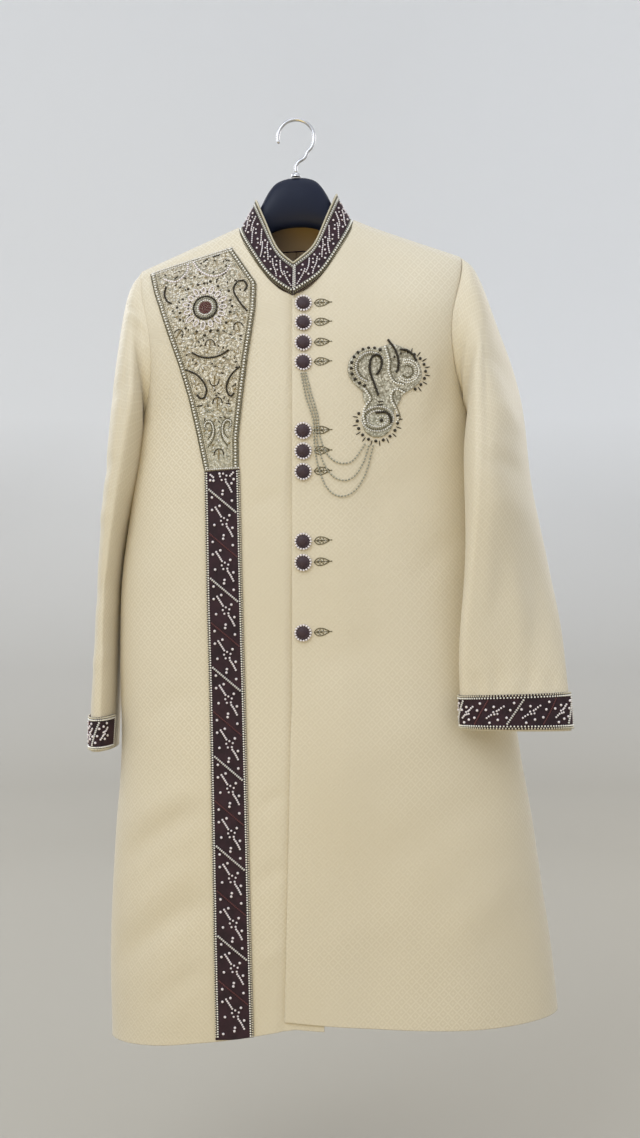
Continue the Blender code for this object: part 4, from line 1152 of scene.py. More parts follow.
# %% The strip's beads
HALF_PERIOD = 0.0571  # metres from one diagonal to the next
DIAGONAL_FROM, DIAGONAL_DROP, HALF_PERIODS_BELOW = -0.7218, 0.0326, 9
STRIP_WIDTH = 0.047
FIELD = (0.115, 0.885)  # the velvet between the borders
BORDER_SHARES = (0.018, 0.072, 0.982, 0.928)  # an outer and an inner row on each side, as shares across
BEADS_FROM, MOTIFS_FROM, BEADS_TO = STRIP_TOP - 0.001, STRIP_TOP - 0.003, STRIP_FOOT + 0.009
STRIP_SPRIGS = [
    # shares across the field, shares of a half period down
    ("stem", [(0.23, 0.405), (0.35, 0.53), (0.47, 0.66)]),
    ("stem", [(0.63, 0.85), (0.75, 0.97), (0.86, 1.116)]),
    *alone("pearl", (0.51, 0.139), (0.13, 0.197), (0.85, 0.296), (0.4, 0.397), (0.126, 0.478), (0.75, 0.623)),
    *alone("pearl", (0.2, 0.82), (0.85, 0.907), (0.53, 1.064)),
]
FLOWER_AT, FLOWER_REACH, FLOWER_BEADS = (0.56, 0.754), 0.0044, 5
TOP_SPRAY = [
    # shares across the field, metres below the strip's top
    ("stem", [(0.06, 0.0040), (0.22, 0.0092)]),
    ("stem", [(0.94, 0.0030), (0.78, 0.0088)]),
    *alone("pearl", (0.42, 0.0042), (0.08, 0.0120), (0.93, 0.0125)),
]
BORDER = [(0.0029, EDGE_CORD, CREAM_BEAD), (0.0032, EDGE_BEAD, GLASS_BEAD)]  # its outer and its inner row


def across_strip(u):
    """Metres from the strip's outer edge, for a share across the field between its borders."""
    return STRIP_WIDTH * (FIELD[0] + (FIELD[1] - FIELD[0]) * u)


def strip_motifs(top, silver):
    """Everything in one half period of the strip, as (kind, path) pairs in metres."""

    def spot(u, v):
        return (across_strip(u), top - v * HALF_PERIOD)

    diagonal = [(across_strip(0), top), (across_strip(1), top - DIAGONAL_DROP)]
    flower = circle(spot(*FLOWER_AT), FLOWER_REACH, 0.06 * TURN, TURN, FLOWER_BEADS + 1)[:-1]
    sprigs = [(kind, [spot(*at) for at in path]) for kind, path in STRIP_SPRIGS]
    return [("diagonal" if silver else "copper", diagonal)] + sprigs + alone("petal", *flower)


beads = Beadwork(lambda spots, out: on_strip(spots / (STRIP_WIDTH, 1), out))
for share, row in zip(BORDER_SHARES, BORDER * 2):
    beads.row([(share * STRIP_WIDTH, BEADS_FROM), (share * STRIP_WIDTH, BEADS_TO)], *row)
for step in range(-math.ceil((STRIP_TOP - DIAGONAL_FROM) / HALF_PERIOD), HALF_PERIODS_BELOW):
    for kind, path in strip_motifs(DIAGONAL_FROM - step * HALF_PERIOD, step % 2 == 0):
        heights = [height for _, height in path]
        if max(heights) <= MOTIFS_FROM and min(heights) >= BEADS_TO:
            beads.motif(kind, path)
for kind, path in TOP_SPRAY:
    beads.motif(kind, [(across_strip(u), STRIP_TOP - down) for u, down in path])
beads.finish("velvet_strip_beads", "silver_beads", "velvet_strip")

# %% [markdown]
# ### Cuffs
# The cuff bands carry the strip's pattern turned on its side.

# %% Cuff bands and their beads
CUFF_BAND, BAND_FOOT, BAND_FROM, BAND_TO = 0.047, 0.965, -90, 150
CUFF_STEP, CUFF_BORDER, CUFF_FIRST = 0.034, 0.0065, 0.007  # metres along, down, and to the first step
CUFF_ROWS = (0.0014, 0.0043, CUFF_BAND - 0.0014, CUFF_BAND - 0.0043)  # metres down
CUFF_DIAGONAL, SPRIGS_FROM = (-0.05, 0.42), 0.16  # in steps along the band
CUFF_SPRIGS = [
    # shares of a step along the band, shares of the band's height down
    ("stem", [(0.30, 0.24), (0.42, 0.34), (0.50, 0.44)]),
    ("stem", [(0.66, 0.58), (0.76, 0.66), (0.86, 0.76)]),
    *alone("pearl", (0.16, 0.42), (0.62, 0.28), (0.86, 0.40), (0.26, 0.72), (0.50, 0.80), (0.06, 0.14)),
    *alone("pearl", (0.74, 0.92)),
    *alone("petal", (0.53, 0.45), (0.63, 0.49), (0.60, 0.58), (0.51, 0.56)),
]


def cuff_band(side, mirrored):
    tube, tube_normals = ARMS["sleeve_" + side]
    table = SLEEVES["sleeve_" + side]
    share_top = 1 - CUFF_BAND / math.dist(table[-1][:3], table[-2][:3])
    on_sleeve = on_grid(hung(tube), tube_normals)

    def place(spots, out):
        """Spots in metres: along the band from its hind end, and down it."""
        angle = (BAND_FROM + (BAND_TO - BAND_FROM) * (spots[..., 0] / length)) % 360
        down = share_top + (BAND_FOOT - share_top) * spots[..., 1] / CUFF_BAND
        ring = (len(table) - 1 + down) / len(table)
        return on_sleeve(stacked(angle / 360, ring), np.asarray(out) + TRIM_OUT)

    def spot(along, v):
        """A spot at a number of steps along the band, and a share of the way down between the borders."""
        v = 1 - v if mirrored else v
        return (CUFF_FIRST + along * CUFF_STEP, CUFF_BORDER + v * (CUFF_BAND - 2 * CUFF_BORDER))

    length = 1.0  # until it is measured
    line, _ = place(stacked(np.linspace(0, 1, 200), np.full(200, CUFF_BAND / 2)), 0.0)
    length = running(line)[-1]
    spots = stacked(*np.meshgrid(edged_shares(70, 0.004) * length, edged_shares(12, 0.02) * CUFF_BAND))
    centre = Vector(hung(tube)[-20:].reshape(-1, 3).mean(axis=0))
    name = "cuff_band_" + side
    trim_piece(name + "_cloth", *place(spots, 0.0), lambda at: at - centre)

    beads = Beadwork(place)
    for down, row in zip(CUFF_ROWS, BORDER * 2):
        beads.row([(0.001, down), (length - 0.001, down)], *row)
    for end in (0.0015, length - 0.0015):
        beads.row([(end, 0.006), (end, CUFF_BAND - 0.006)], 0.0027, EDGE_BEAD, SILVER)
    for step in range(int((length - 0.01) / CUFF_STEP)):
        diagonal = [spot(step + along, v) for v, along in enumerate(CUFF_DIAGONAL)]
        beads.motif("copper" if step % 2 else "diagonal", diagonal)
        for kind, path in CUFF_SPRIGS:
            path = [spot(step + u + SPRIGS_FROM, v) for u, v in path]
            if max(at[0] for at in path) <= length - 0.004:
                beads.motif(kind, path)
    beads.finish(name + "_beads", "silver_beads", name)


cuff_band("left", False)
cuff_band("right", True)

# %% [markdown]
# ### Collar
# The stand rises from the neckline and leans in towards the neck. Its left end lies on its right end, as the
# fronts do. The line at its foot is taken at the same few heights as the solid's, then smoothed.

# %% The collar's velvet
COLLAR_HEIGHT, COLLAR_WALL = 0.045, 0.0024
COLLAR_CENTRE = (0.0, -0.012, 0.0)
COLLAR_LEAN, FRONT_UPRIGHT, BACK_UPRIGHT = 0.55, 0.21, 0.3
COLLAR_STEP = (0.9, 0.975)  # shares of its length over which the left end rises onto the right one
COLLAR_COLUMNS, COLLAR_FINE = 37, 6
COLLAR_TURN_IN = 0.003  # how far its foot goes on below the neckline
COLLAR_DEPTH = COLLAR_HEIGHT + COLLAR_TURN_IN
BACK_ROWS = [SHOULDER_LEVEL, -0.1469, -0.158, -0.17, -0.1815, BACK_NECK_LEVEL]
FRONT_ROWS = BACK_ROWS + [-0.213, -0.24, CLOSING_LEVEL]


def neck_edge(side, direction, levels):
    """Points of the neckline on one panel."""
    levels = np.array(levels)
    front = side != "back"
    x = np.array([inner_edge(side, direction, level) for level in levels])
    angle = angle_at(x, levels, front)
    at = torso(angle, levels, side)
    if side == "over":
        at = at + torso_normal(angle, levels, side) * (CLOTH + 2 * SEAM)
    at[:, 1] += -SEAM / 2 if front else SEAM / 2
    return at


base = np.concatenate([
    neck_edge("under", -1, FRONT_ROWS)[::-1],
    neck_edge("back", -1, BACK_ROWS[1:]),
    neck_edge("back", 1, BACK_ROWS[1:-1])[::-1],
    neck_edge("over", 1, FRONT_ROWS),
])
run = running(base)
COLLAR_LENGTH = run[-1]
coarse = np.linspace(0, COLLAR_LENGTH, COLLAR_COLUMNS)
line = stacked(*(np.interp(coarse, run, values) for values in base.T))
for _ in range(2):
    line[1:-1] = eased(line)
fine = np.linspace(0, COLLAR_LENGTH, (COLLAR_COLUMNS - 1) * COLLAR_FINE + 1)
line = smooth_through(coarse, line, fine)
share = fine / COLLAR_LENGTH
ends = np.abs(2 * share - 1)
inwards = np.array(COLLAR_CENTRE) - line
inwards[:, 2] = 0
inwards = unit(inwards)
lean = COLLAR_LEAN - FRONT_UPRIGHT * fade(ends, 0.55, 1.0) - BACK_UPRIGHT * fade(1 - ends, 0.45, 1.0)
rise = inwards * lean[:, None] + np.array([0, 0, 1]) * np.sqrt(1 - lean**2)[:, None]
out = unit(np.cross(rise, np.gradient(line, axis=0)))
if (out * -inwards).sum() < 0:
    out = -out
line = line + out * ((COLLAR_WALL + 2 * SEAM) * fade(share, *COLLAR_STEP))[:, None]


def collar_grid(shares, foot=line, rise=rise, out=out):
    """Points and normals of the collar's face, at shares of the way down it."""
    heights = COLLAR_HEIGHT - shares * COLLAR_DEPTH
    points = hung(foot + rise * heights[:, None, None])
    return points, np.broadcast_to(out, points.shape)


def from_neck(centre):
    return (centre.x - COLLAR_CENTRE[0], centre.y - COLLAR_CENTRE[1], 0)


face, facing = collar_grid(edged_shares(9, 0.02))
trim_piece("collar_cloth", face, facing, from_neck, (VELVET, CREAM_LINING), COLLAR_WALL)
print(f"neckline {COLLAR_LENGTH:.3f} m")

# %% The collar's beads
on_collar_share = on_grid(*collar_grid(np.linspace(0, 1, 25)))


def on_collar(spots, out):
    """Spots in metres: along the collar from its right end, and down from its top edge."""
    return on_collar_share(spots / (COLLAR_LENGTH, COLLAR_DEPTH), out)


COLLAR_EDGE_ROWS = [
    # metres down, pitch, size, look
    (0.0007, 0.0028, (0.0029, 0.003, 0.0026), CREAM_BEAD),
    (0.0034, 0.0028, (0.0029, 0.0019, 0.0016), OLIVE_THREAD),
    (0.0057, 0.004, (0.003, 0.0028, 0.0023), SILVER),
    (0.0078, 0.0027, (0.0027, 0.0012, 0.0014), GREY_BEAD),
    (COLLAR_DEPTH - 0.0086, 0.0028, (0.0028, 0.0012, 0.0014), GREY_BEAD),
    (COLLAR_DEPTH - 0.0063, 0.0042, (0.0032, 0.003, 0.0026), GLASS_BEAD),
    (COLLAR_DEPTH - 0.004, 0.0028, (0.0028, 0.0018, 0.0016), OLIVE_THREAD),
    (COLLAR_DEPTH - 0.0016, 0.0028, EDGE_CORD, OLIVE_THREAD),
]
COLLAR_SPRIGS = [
    # shares of a step along, shares of the field's height down
    ("stem", [(0.02, 0.98), (0.14, 0.80), (0.26, 0.62), (0.34, 0.40)]),
    ("stem", [(0.34, 0.66), (0.46, 0.46), (0.52, 0.24), (0.56, 0.02)]),
    ("stem", [(0.58, 0.98), (0.66, 0.76), (0.80, 0.60), (0.92, 0.34)]),
    *alone("pearl", (0.10, 0.46), (0.26, 0.14), (0.44, 0.84), (0.68, 0.44), (0.80, 0.12), (0.86, 0.90)),
    *alone("petal", (0.20, 0.36), (0.60, 0.62), (0.70, 0.24), (0.96, 0.60)),
]
COLLAR_STEM = (0.0029, 0.0022, 0.0019)
COLLAR_SPRAY = {"stem": (0.0027, COLLAR_STEM, PEARL), "pearl": (0.0032, PEARL), "petal": (0.0025, PEARL)}
COLLAR_STEPS, COLLAR_FIELD = 11, (0.0102, COLLAR_DEPTH - 0.0212)  # the field's top and its height
step_long = (COLLAR_LENGTH - 0.012) / COLLAR_STEPS
beads = Beadwork(on_collar)
for down, pitch, size, look in COLLAR_EDGE_ROWS:
    beads.row([(0.001, down), (COLLAR_LENGTH - 0.001, down)], pitch, size, look)
for end in (0.0014, COLLAR_LENGTH - 0.004, COLLAR_LENGTH - 0.0012):
    beads.row([(end, 0.006), (end, COLLAR_DEPTH - 0.009)], 0.0027, EDGE_BEAD, SILVER)
for step in range(COLLAR_STEPS):
    for kind, path in COLLAR_SPRIGS:
        if step >= COLLAR_STEPS // 2:
            path = [(1 - u, v) for u, v in path]
        if step % 2:
            path = [(1 - u, 1 - v) for u, v in path]
        path = [(0.006 + (step + u) * step_long, COLLAR_FIELD[0] + v * COLLAR_FIELD[1]) for u, v in path]
        beads.motif(kind, path, COLLAR_SPRAY)
beads.finish("collar_beads", "silver_beads", "collar")

# %% [markdown]
# ## Shoulder embroidery
# Zardozi is metal-thread work: coiled wire, flat wire and beads couched over the whole ground. The ground
# here is a material, with short twists of thread in many tones. On it lie a rosette, scrolls of dark bronze
# beads, scallops and sprigs.

# %% The ground of metal thread
SHOULDER_PANEL = np.array([
    # outer x, outer z, inner x, inner z
    (-0.193, -0.2, -0.084, -0.174),
    (-0.185, -0.229, -0.05, -0.229),
    (-0.177, -0.252, -0.051, -0.263),
    (-0.164, -0.29, -0.0555, -0.295),
    (-0.1505, -0.3285, -0.0604, -0.328),
    (-0.137, -0.374, -0.0665, -0.379),
    (-0.1264, -0.4204, -0.0716, -0.429),
    (-0.1162, -0.4698, -0.0712, -0.4702),
])
on_embroidery = raised(on_right, TRIM_OUT)
# the gap colour is painted shade in the grooves between the raised threads
ZARDOZI_CELLS, ZARDOZI_GAP_SHADE = 420.0, (0.2, 0.17, 0.115)  # threads per metre, colour of the gaps between them
COOL_FROM, COOL_SHARE, COOL_TONE = (-0.37, -0.42), 0.28, (0.36, 0.39, 0.32)  # towards the foot, by height
ZARDOZI_TONES = [
    (0.6, 0.54, 0.42), (0.7, 0.64, 0.52), (0.38, 0.31, 0.2), (0.8, 0.75, 0.64), (0.5, 0.45, 0.34),
]
SILVER_TONES = [
    (0.52, 0.5, 0.41), (0.64, 0.61, 0.51), (0.3, 0.28, 0.21), (0.74, 0.71, 0.61), (0.42, 0.4, 0.32),
]


def edge_x(number, z):
    """x of the embroidery's outer (0) or inner (2) long edge at a height."""
    return np.interp(-z, -SHOULDER_PANEL[:, number + 1], SHOULDER_PANEL[:, number])


def panel_edge(number, share):
    """A spot on one long edge of the embroidery, a share of the way down."""
    top, foot = SHOULDER_PANEL[[0, -1], number + 1]
    z = top + share * (foot - top)
    return stacked(edge_x(number, z), z)


def zardozi_of(name, tones):
    """Short threads in several tones, raised and glinting: stretched cells with a tone each."""
    made = finish_of(name, tones[0], 0.5, Metallic=0.12)
    tree = made.node_tree
    place = places(tree)
    drift = node(tree, "ShaderNodeTexNoise", place)
    drift.inputs["Scale"].default_value = 90.0
    bent = node(tree, "ShaderNodeMix", data_type="VECTOR")
    bent.inputs[0].default_value = 0.006
    tree.links.new(place, bent.inputs[4])
    tree.links.new(drift.outputs["Color"], bent.inputs[5])
    cells = node(tree, "ShaderNodeTexVoronoi", bent.outputs[1])
    cells.inputs["Scale"].default_value = ZARDOZI_CELLS
    tone = node(tree, "ShaderNodeSeparateColor", cells.outputs["Color"]).outputs[0]
    ramp = node(tree, "ShaderNodeValToRGB", tone)
    ramp.color_ramp.interpolation = "CONSTANT"
    while len(ramp.color_ramp.elements) < len(tones):
        ramp.color_ramp.elements.new(0.5)
    for number, (element, colour) in enumerate(zip(ramp.color_ramp.elements, tones)):
        element.position = number / len(tones)
        element.color = (*colour, 1)
    # painted shade: each thread darkens towards its edge, into the groove beside the next
    edge = step_up(tree, cells.outputs["Distance"], 0.35, 0.90)
    colour = blend_colours(tree, edge, ramp.outputs[0], ZARDOZI_GAP_SHADE)
    low_down = maths(tree, "MULTIPLY", step_up(tree, height_in(tree, place), *COOL_FROM), COOL_SHARE)
    feed(tree, "Base Color", blend_colours(tree, low_down, colour, COOL_TONE))
    bump(tree, maths(tree, "SUBTRACT", 1.0, cells.outputs["Distance"]), 0.0008, 0.7)
    return made


ZARDOZI, SILVER_THREAD = zardozi_of("zardozi", ZARDOZI_TONES), zardozi_of("silver_thread", SILVER_TONES)
down, across = edged_shares(110, 0.003), edged_shares(44, 0.005)[:, None]
spots = panel_edge(0, down)[:, None] * (1 - across) + panel_edge(2, down)[:, None] * across
ground, facing = on_embroidery(spots, 0.0)
trim_piece("shoulder_panel_ground", ground, facing, forward, (ZARDOZI, ZARDOZI), slot="zardozi")
print(f"embroidery {area_of(ground):.3f} square metres")

# %% The embroidery's beads and scrolls
ROSETTE = (-0.1157, -0.2585)
ROSETTE_EYE, THIN_BEAD = (0.0025, 0.0025, 0.0016), (0.0026, 0.0015, 0.0014)
ROSETTE_RINGS = [
    # radius, pitch, size, look
    (0.0012, 0.0022, ROSETTE_EYE, COPPER_BEAD),
    (0.0032, 0.0022, ROSETTE_EYE, COPPER_BEAD),
    (0.0053, 0.0022, ROSETTE_EYE, COPPER_BEAD),
    (0.0073, 0.0022, ROSETTE_EYE, COPPER_BEAD),
    (0.0098, 0.0028, (0.0028, 0.0028, 0.0021), SILVER),
    (0.0124, 0.0026, (0.0027, 0.0024, 0.002), GREY_BEAD),
    (0.0152, 0.0025, (0.0029, 0.0032, 0.0026), BRONZE),
]
PETALS, PETAL_FROM, PETAL_TO, PETAL_WIDTH = 15, 0.0183, 0.0275, 0.0052
BETWEEN_PETALS, INNER_DOTS_RADIUS = 0.0222, 0.0312
DARK_DOTS, DARK_RADIUS, DARK_SWAY = 19, 0.0345, 0.0022  # the dark beads stand a little unevenly
BRONZE_SCROLLS = [
    # a hook at the upper right, a bracket at the left
    [(-0.0612, -0.2668), (-0.0722, -0.2526), (-0.0795, -0.2375), (-0.0752, -0.2262), (-0.0668, -0.2248),
     (-0.0622, -0.2322), (-0.0658, -0.2392)],
    [(-0.1686, -0.2238), (-0.17, -0.235), (-0.1664, -0.2444), (-0.1598, -0.2496)],
    # a smile below the rosette, two S scrolls below that
    [(-0.1322, -0.3158), (-0.1212, -0.3222), (-0.1085, -0.3246), (-0.0952, -0.3222), (-0.0846, -0.316)],
    [(-0.1402, -0.3372), (-0.1276, -0.3436), (-0.1172, -0.3546), (-0.1132, -0.3652), (-0.1156, -0.3748),
     (-0.1218, -0.3752), (-0.1252, -0.3704)],
    [(-0.07, -0.3386), (-0.0806, -0.3478), (-0.0866, -0.3598), (-0.0868, -0.3688), (-0.0822, -0.3758),
     (-0.0772, -0.3722)],
]
SCALLOPS = [
    [(-0.1412, -0.193), (-0.1424, -0.2066), (-0.1556, -0.2186), (-0.1726, -0.2128)],
    [(-0.1346, -0.1906), (-0.1238, -0.2064), (-0.1072, -0.2156), (-0.0914, -0.2112), (-0.085, -0.2006)],
]
DASHES = [
    [(-0.1085, -0.1862), (-0.0985, -0.1838)],
    [(-0.121, -0.192), (-0.115, -0.189)],
    [(-0.0955, -0.215), (-0.0895, -0.2105)],
    [(-0.126, -0.3858), (-0.118, -0.3846)],
    [(-0.0885, -0.3846), (-0.0815, -0.3858)],
    [(-0.158, -0.214), (-0.153, -0.21)],
]
SPRIGS = [
    # x, z, turn in degrees
    (-0.074, -0.2835, 20), (-0.109, -0.304, 0), (-0.099, -0.379, 0), (-0.097, -0.4455, 0),
    (-0.103, -0.358, 180), (-0.148, -0.288, -35),
]
SPRIG_ARCH = [(-0.0065, -0.0052), (-0.0046, 0.0006), (0.0, 0.003), (0.0046, 0.0006), (0.0065, -0.0052)]
SPRIG_STEM = [(0.0, 0.0028), (0.0, -0.01)]
CURLS = [(-0.1115, -0.414, 1), (-0.085, -0.414, -1)]  # x, z, which way it leans
CURL = [
    (0.0, -0.026), (0.008, -0.014), (0.0088, 0.0), (0.004, 0.009), (-0.003, 0.008), (-0.0045, 0.001),
    (0.0, -0.003),
]
CURL_LOOKS = [(1.0, OLIVE_THREAD), (0.82, GLASS_BEAD), (0.6, OLIVE_THREAD)]  # share of the size, look
LONG_EDGE_ROWS = [
    # metres in from the edge, pitch, size, look
    (0.001, 0.0026, (0.0028, 0.0021, 0.0018), OLIVE_THREAD),
    (0.004, 0.0026, (0.0028, 0.004, 0.001), OLIVE_THREAD),
    (0.004, 0.004, (0.0031, 0.0032, 0.0031), GLASS_BEAD),
    (0.007, 0.0029, (0.003, 0.0014, 0.0015), OLIVE_THREAD),
    (0.0088, 0.0028, (0.0029, 0.002, 0.0018), CREAM_BEAD),
]
SHORT_EDGE_ROWS = [(0.0, -0.0014), (0.0, -0.0048), (1.0, 0.0014)]  # share down, metres up from there
END_INSET = np.array([[0.02], [-0.02]])  # how much a short edge's row draws in, and goes on at its other end


def turned(path, centre, angle):
    """A small shape turned by an angle in radians and put in place."""
    x, z = np.array(path).T
    right, up = math.cos(angle), math.sin(angle)
    return np.array(centre) + stacked(x * right - z * up, x * up + z * right)


beads = Beadwork(on_embroidery)
for radius, pitch, size, look in ROSETTE_RINGS:
    beads.row(circle(ROSETTE, radius), pitch, size, look)
for number in range(PETALS):
    angle, end = TURN * number / PETALS, PETAL_TO + 0.002 * (number % 2)
    turns = np.linspace(0, TURN, 9)
    reach = (PETAL_FROM + end) / 2 - (end - PETAL_FROM) / 2 * np.cos(turns)
    petal = turned(stacked(reach, PETAL_WIDTH / 2 * np.sin(turns)), ROSETTE, angle)
    beads.row(petal, 0.0021, (0.0027, 0.0021, 0.0019), PEARL)
    beads.dots(ROSETTE + rays(angle + math.pi / PETALS) * BETWEEN_PETALS, 0.0024, BRONZE)
for number in range(DARK_DOTS):
    angle = TURN * (number + 0.3 * math.sin(5.0 * number)) / DARK_DOTS
    reach = DARK_RADIUS + DARK_SWAY * math.sin(3.7 * number)
    beads.dots(ROSETTE + rays(angle) * reach, 0.0038, BRONZE)
beads.dots(circle(ROSETTE, INNER_DOTS_RADIUS, 0.14, TURN, DARK_DOTS + 1)[:-1], 0.0026, SILVER)
for path in BRONZE_SCROLLS:
    beads.row(path, 0.0022, (0.0027, 0.0029, 0.0026), BRONZE, 0.0004)
    for shift in (-0.0034, 0.0034):
        beads.beside(path, (shift, shift * 0.6), 0.0025, THIN_BEAD, CREAM_BEAD)
for path in SCALLOPS:
    beads.row(path, 0.0031, (0.0031, 0.0031, 0.0024), PEARL)
    beads.beside(path, (0.0, 0.0042), 0.0024, THIN_BEAD, GREY_BEAD)
for path in DASHES:
    beads.row(path, 0.0021, (0.0026, 0.002, 0.002), BRONZE)
for x, z, degrees in SPRIGS:
    for path, look in ((SPRIG_ARCH, BRONZE), (SPRIG_STEM, GOLD_BEAD)):
        beads.row(turned(path, (x, z), math.radians(degrees)), 0.0021, (0.0024, 0.0018, 0.0018), look)
for x, z, lean in CURLS:
    for grow, look in CURL_LOOKS:
        beads.row(np.array(CURL) * (lean, 1) * grow + (x, z), 0.0024, (0.0026, 0.002, 0.0019), look)
for number, inwards in ((0, 1), (2, -1)):
    path = panel_edge(number, np.linspace(0.004, 0.994, 40))
    for metres, pitch, size, look in LONG_EDGE_ROWS:
        beads.row(path + (inwards * metres, 0), pitch, size, look)
for share, drop in SHORT_EDGE_ROWS:
    path = np.array([panel_edge(0, share), panel_edge(2, share)]) + (0, drop)
    path = path * (1 - END_INSET) + path[::-1] * END_INSET
    beads.row(path, 0.0028, (0.0026, 0.0025, 0.002), SILVER)
print(sum(len(frames) for frames, _ in beads.groups), "beads in the motifs and borders")

# %% [markdown]
# Short curls of coiled wire fill what is left between the motifs. They are strewn from a seeded source of
# chance, and those that would cross a motif are left out.

# %% The filling of coiled wire
chance = np.random.default_rng(7)
FILL_TRIES, FILL_CLEAR, FILL_APART, FILL_MARGIN = 3000, 0.0026, 0.003, 0.0095
taken = np.concatenate([frames[:, 0] for frames, _ in beads.groups])
x, z = chance.uniform(-0.19, -0.05, FILL_TRIES), chance.uniform(-0.464, -0.175, FILL_TRIES)
inside = (x > edge_x(0, z) + FILL_MARGIN) & (x < edge_x(2, z) - FILL_MARGIN)
inside &= (z < -0.2 + (x + 0.193) * 0.2385 - FILL_MARGIN) & (z > -0.464 + FILL_MARGIN)
spots = stacked(x, z)[inside]
centres, _ = on_embroidery(spots, 0.0)
gap = np.sqrt(((centres[:, None] - taken[None]) ** 2).sum(axis=-1)).min(axis=1)
kept = []
for spot in spots[gap > FILL_CLEAR]:
    if all(math.dist(spot, other) > FILL_APART for other in kept):
        kept.append(spot)
kept = np.array(kept)
directions = rays(chance.uniform(0, math.pi, len(kept)))
kinds = chance.choice(6, len(kept), p=[0.26, 0.2, 0.14, 0.08, 0.14, 0.18])
for kind, look in enumerate((CREAM_BEAD, GREY_BEAD, SILVER, GOLD_BEAD, BRONZE, GLASS_BEAD)):
    chosen = kinds == kind
    beads.lay(kept[chosen], directions[chosen], (0.0044, 0.0019, 0.0018), look)
beads.finish("shoulder_panel_beads", "zardozi", "shoulder_panel")

# %% [markdown]
# ## Paisley
# The chest motif is a paisley with a second lobe and a round foot, all in grey and silver beads. A paisley
# is a traditional teardrop with a curled tip. Dark beads with short spikes between them stand round its
# rim.

# %% The motif's ground
PAISLEY_CENTRE = np.array([0.112, -0.384])
PAISLEY_SHARES = np.array([0.0, 0.12, 0.25, 0.4, 0.55, 0.7, 0.83, 0.93, 0.985, 1.0])  # of the way to the rim
PAISLEY_DISCS = [
    # x, z, radius
    (0.0933, -0.3505, 0.0265), (0.1454, -0.3614, 0.0185), (0.1238, -0.34, 0.0205), (0.14, -0.348, 0.019),
    (0.112, -0.384, 0.025), (0.1063, -0.419, 0.021),
]
RIM_ANGLES = np.linspace(0, TURN, 97)
RIM_ROUNDS = 6  # rounds of smoothing where two discs meet
MOTIF_ROLL = 0.6  # how far its rim goes down, as a share of its wall
on_motif = raised(on_left, TRIM_OUT)

rim = np.zeros(len(RIM_ANGLES))  # the farthest of the discs' rims along each ray from the centre
for x, z, radius in PAISLEY_DISCS:
    centre = np.array([x, z]) - PAISLEY_CENTRE
    along = rays(RIM_ANGLES) @ centre
    inside = radius**2 - centre @ centre + along**2
    rim = np.maximum(rim, np.where(inside > 0, along + np.sqrt(np.maximum(inside, 0)), 0))
for _ in range(RIM_ROUNDS):
    rim[1:-1] = eased(rim)
    rim[0] = rim[-1] = (rim[1] + 2 * rim[0] + rim[-2]) / 4
spots = PAISLEY_CENTRE + PAISLEY_SHARES[:, None, None] * (rim[:, None] * rays(RIM_ANGLES))
points, normals = on_motif(spots, 0.0)
points[-1] -= normals[-1] * TRIM * MOTIF_ROLL
ground = sheet_of("paisley_ground", points, spots, (SILVER_THREAD, SILVER_THREAD), TRIM, forward)
worn(ground, "silver_beads", "paisley_motif")
print(f"motif {area_of(points):.4f} square metres")


# %% The motif's beads
def on_paisley(spots, out, rim=rim):
    """On the motif's ground, or on the cloth itself beyond its rim."""
    away = spots - PAISLEY_CENTRE
    reach = np.interp(np.arctan2(away[..., 1], away[..., 0]) % TURN, RIM_ANGLES, rim)
    lift = TRIM_OUT * (1 - fade(np.linalg.norm(away, axis=-1) - reach, -0.001, 0.0006))
    return on_left(spots, np.asarray(out) + lift)


HEAD, LOBE, FOOT, FOOT_EYE = (0.0967, -0.349), (0.144, -0.356), (0.106, -0.416), (0.1108, -0.418)
HEAD_FROM, HEAD_TURN = math.radians(30), math.radians(228)
HEAD_ROWS = [
    # radius, size, look
    (0.0218, EDGE_CORD, CREAM_BEAD),
    (0.0188, EDGE_BEAD, SILVER),
    (0.016, COPPER_SEED, OLIVE_THREAD),
]
LOBE_ROWS = [(0.0075, OLIVE_THREAD), (0.0112, GLASS_BEAD), (0.0146, GLASS_BEAD)]  # radius, look
FOOT_HALF_WIDE, FOOT_HALF_TALL = 0.0205, 0.0158
FOOT_ROWS = [(1.0, EDGE_BEAD, SILVER), (0.84, COPPER_SEED, OLIVE_THREAD), (0.66, EDGE_BEAD, SILVER)]
FOOT_DASHES = [[(0.105, -0.3985), (0.113, -0.3975)], [(0.1062, -0.3942), (0.1128, -0.3934)]]
DARK_CURVES = [
    [(0.1068, -0.3862), (0.101, -0.37), (0.0956, -0.353), (0.0976, -0.3384), (0.1046, -0.3336),
     (0.1106, -0.3384), (0.11, -0.3506), (0.1042, -0.3592)],
    [(0.1194, -0.314), (0.1268, -0.3258), (0.132, -0.3392), (0.1322, -0.3516), (0.1294, -0.3574)],
    [(0.1346, -0.328), (0.144, -0.3294), (0.1514, -0.3358), (0.1556, -0.343)],
    [(0.103, -0.4082), (0.1142, -0.4076), (0.1216, -0.4126), (0.1236, -0.4218)],
]
BEADED_CURVES = [
    [(0.1412, -0.3838), (0.1306, -0.379), (0.124, -0.3826), (0.1232, -0.3926), (0.1296, -0.4046),
     (0.1328, -0.4156), (0.13, -0.4218)],
    [(0.115, -0.323), (0.12, -0.342), (0.1196, -0.356), (0.1262, -0.369), (0.14, -0.3736)],
    [(0.088, -0.376), (0.096, -0.39), (0.09, -0.399), (0.0872, -0.411), (0.09, -0.423)],
]
FRINGES = [
    # place, centre, radius, from and to in degrees, dark beads, length of the spikes between them
    (on_paisley, HEAD, 0.025, 60, 252, 12, 0.0),
    (on_left, (0.143, -0.357), 0.025, -62, 128, 10, 0.0085),
    (on_left, (0.1063, -0.4178), 0.0264, 158, 372, 11, 0.008),
]
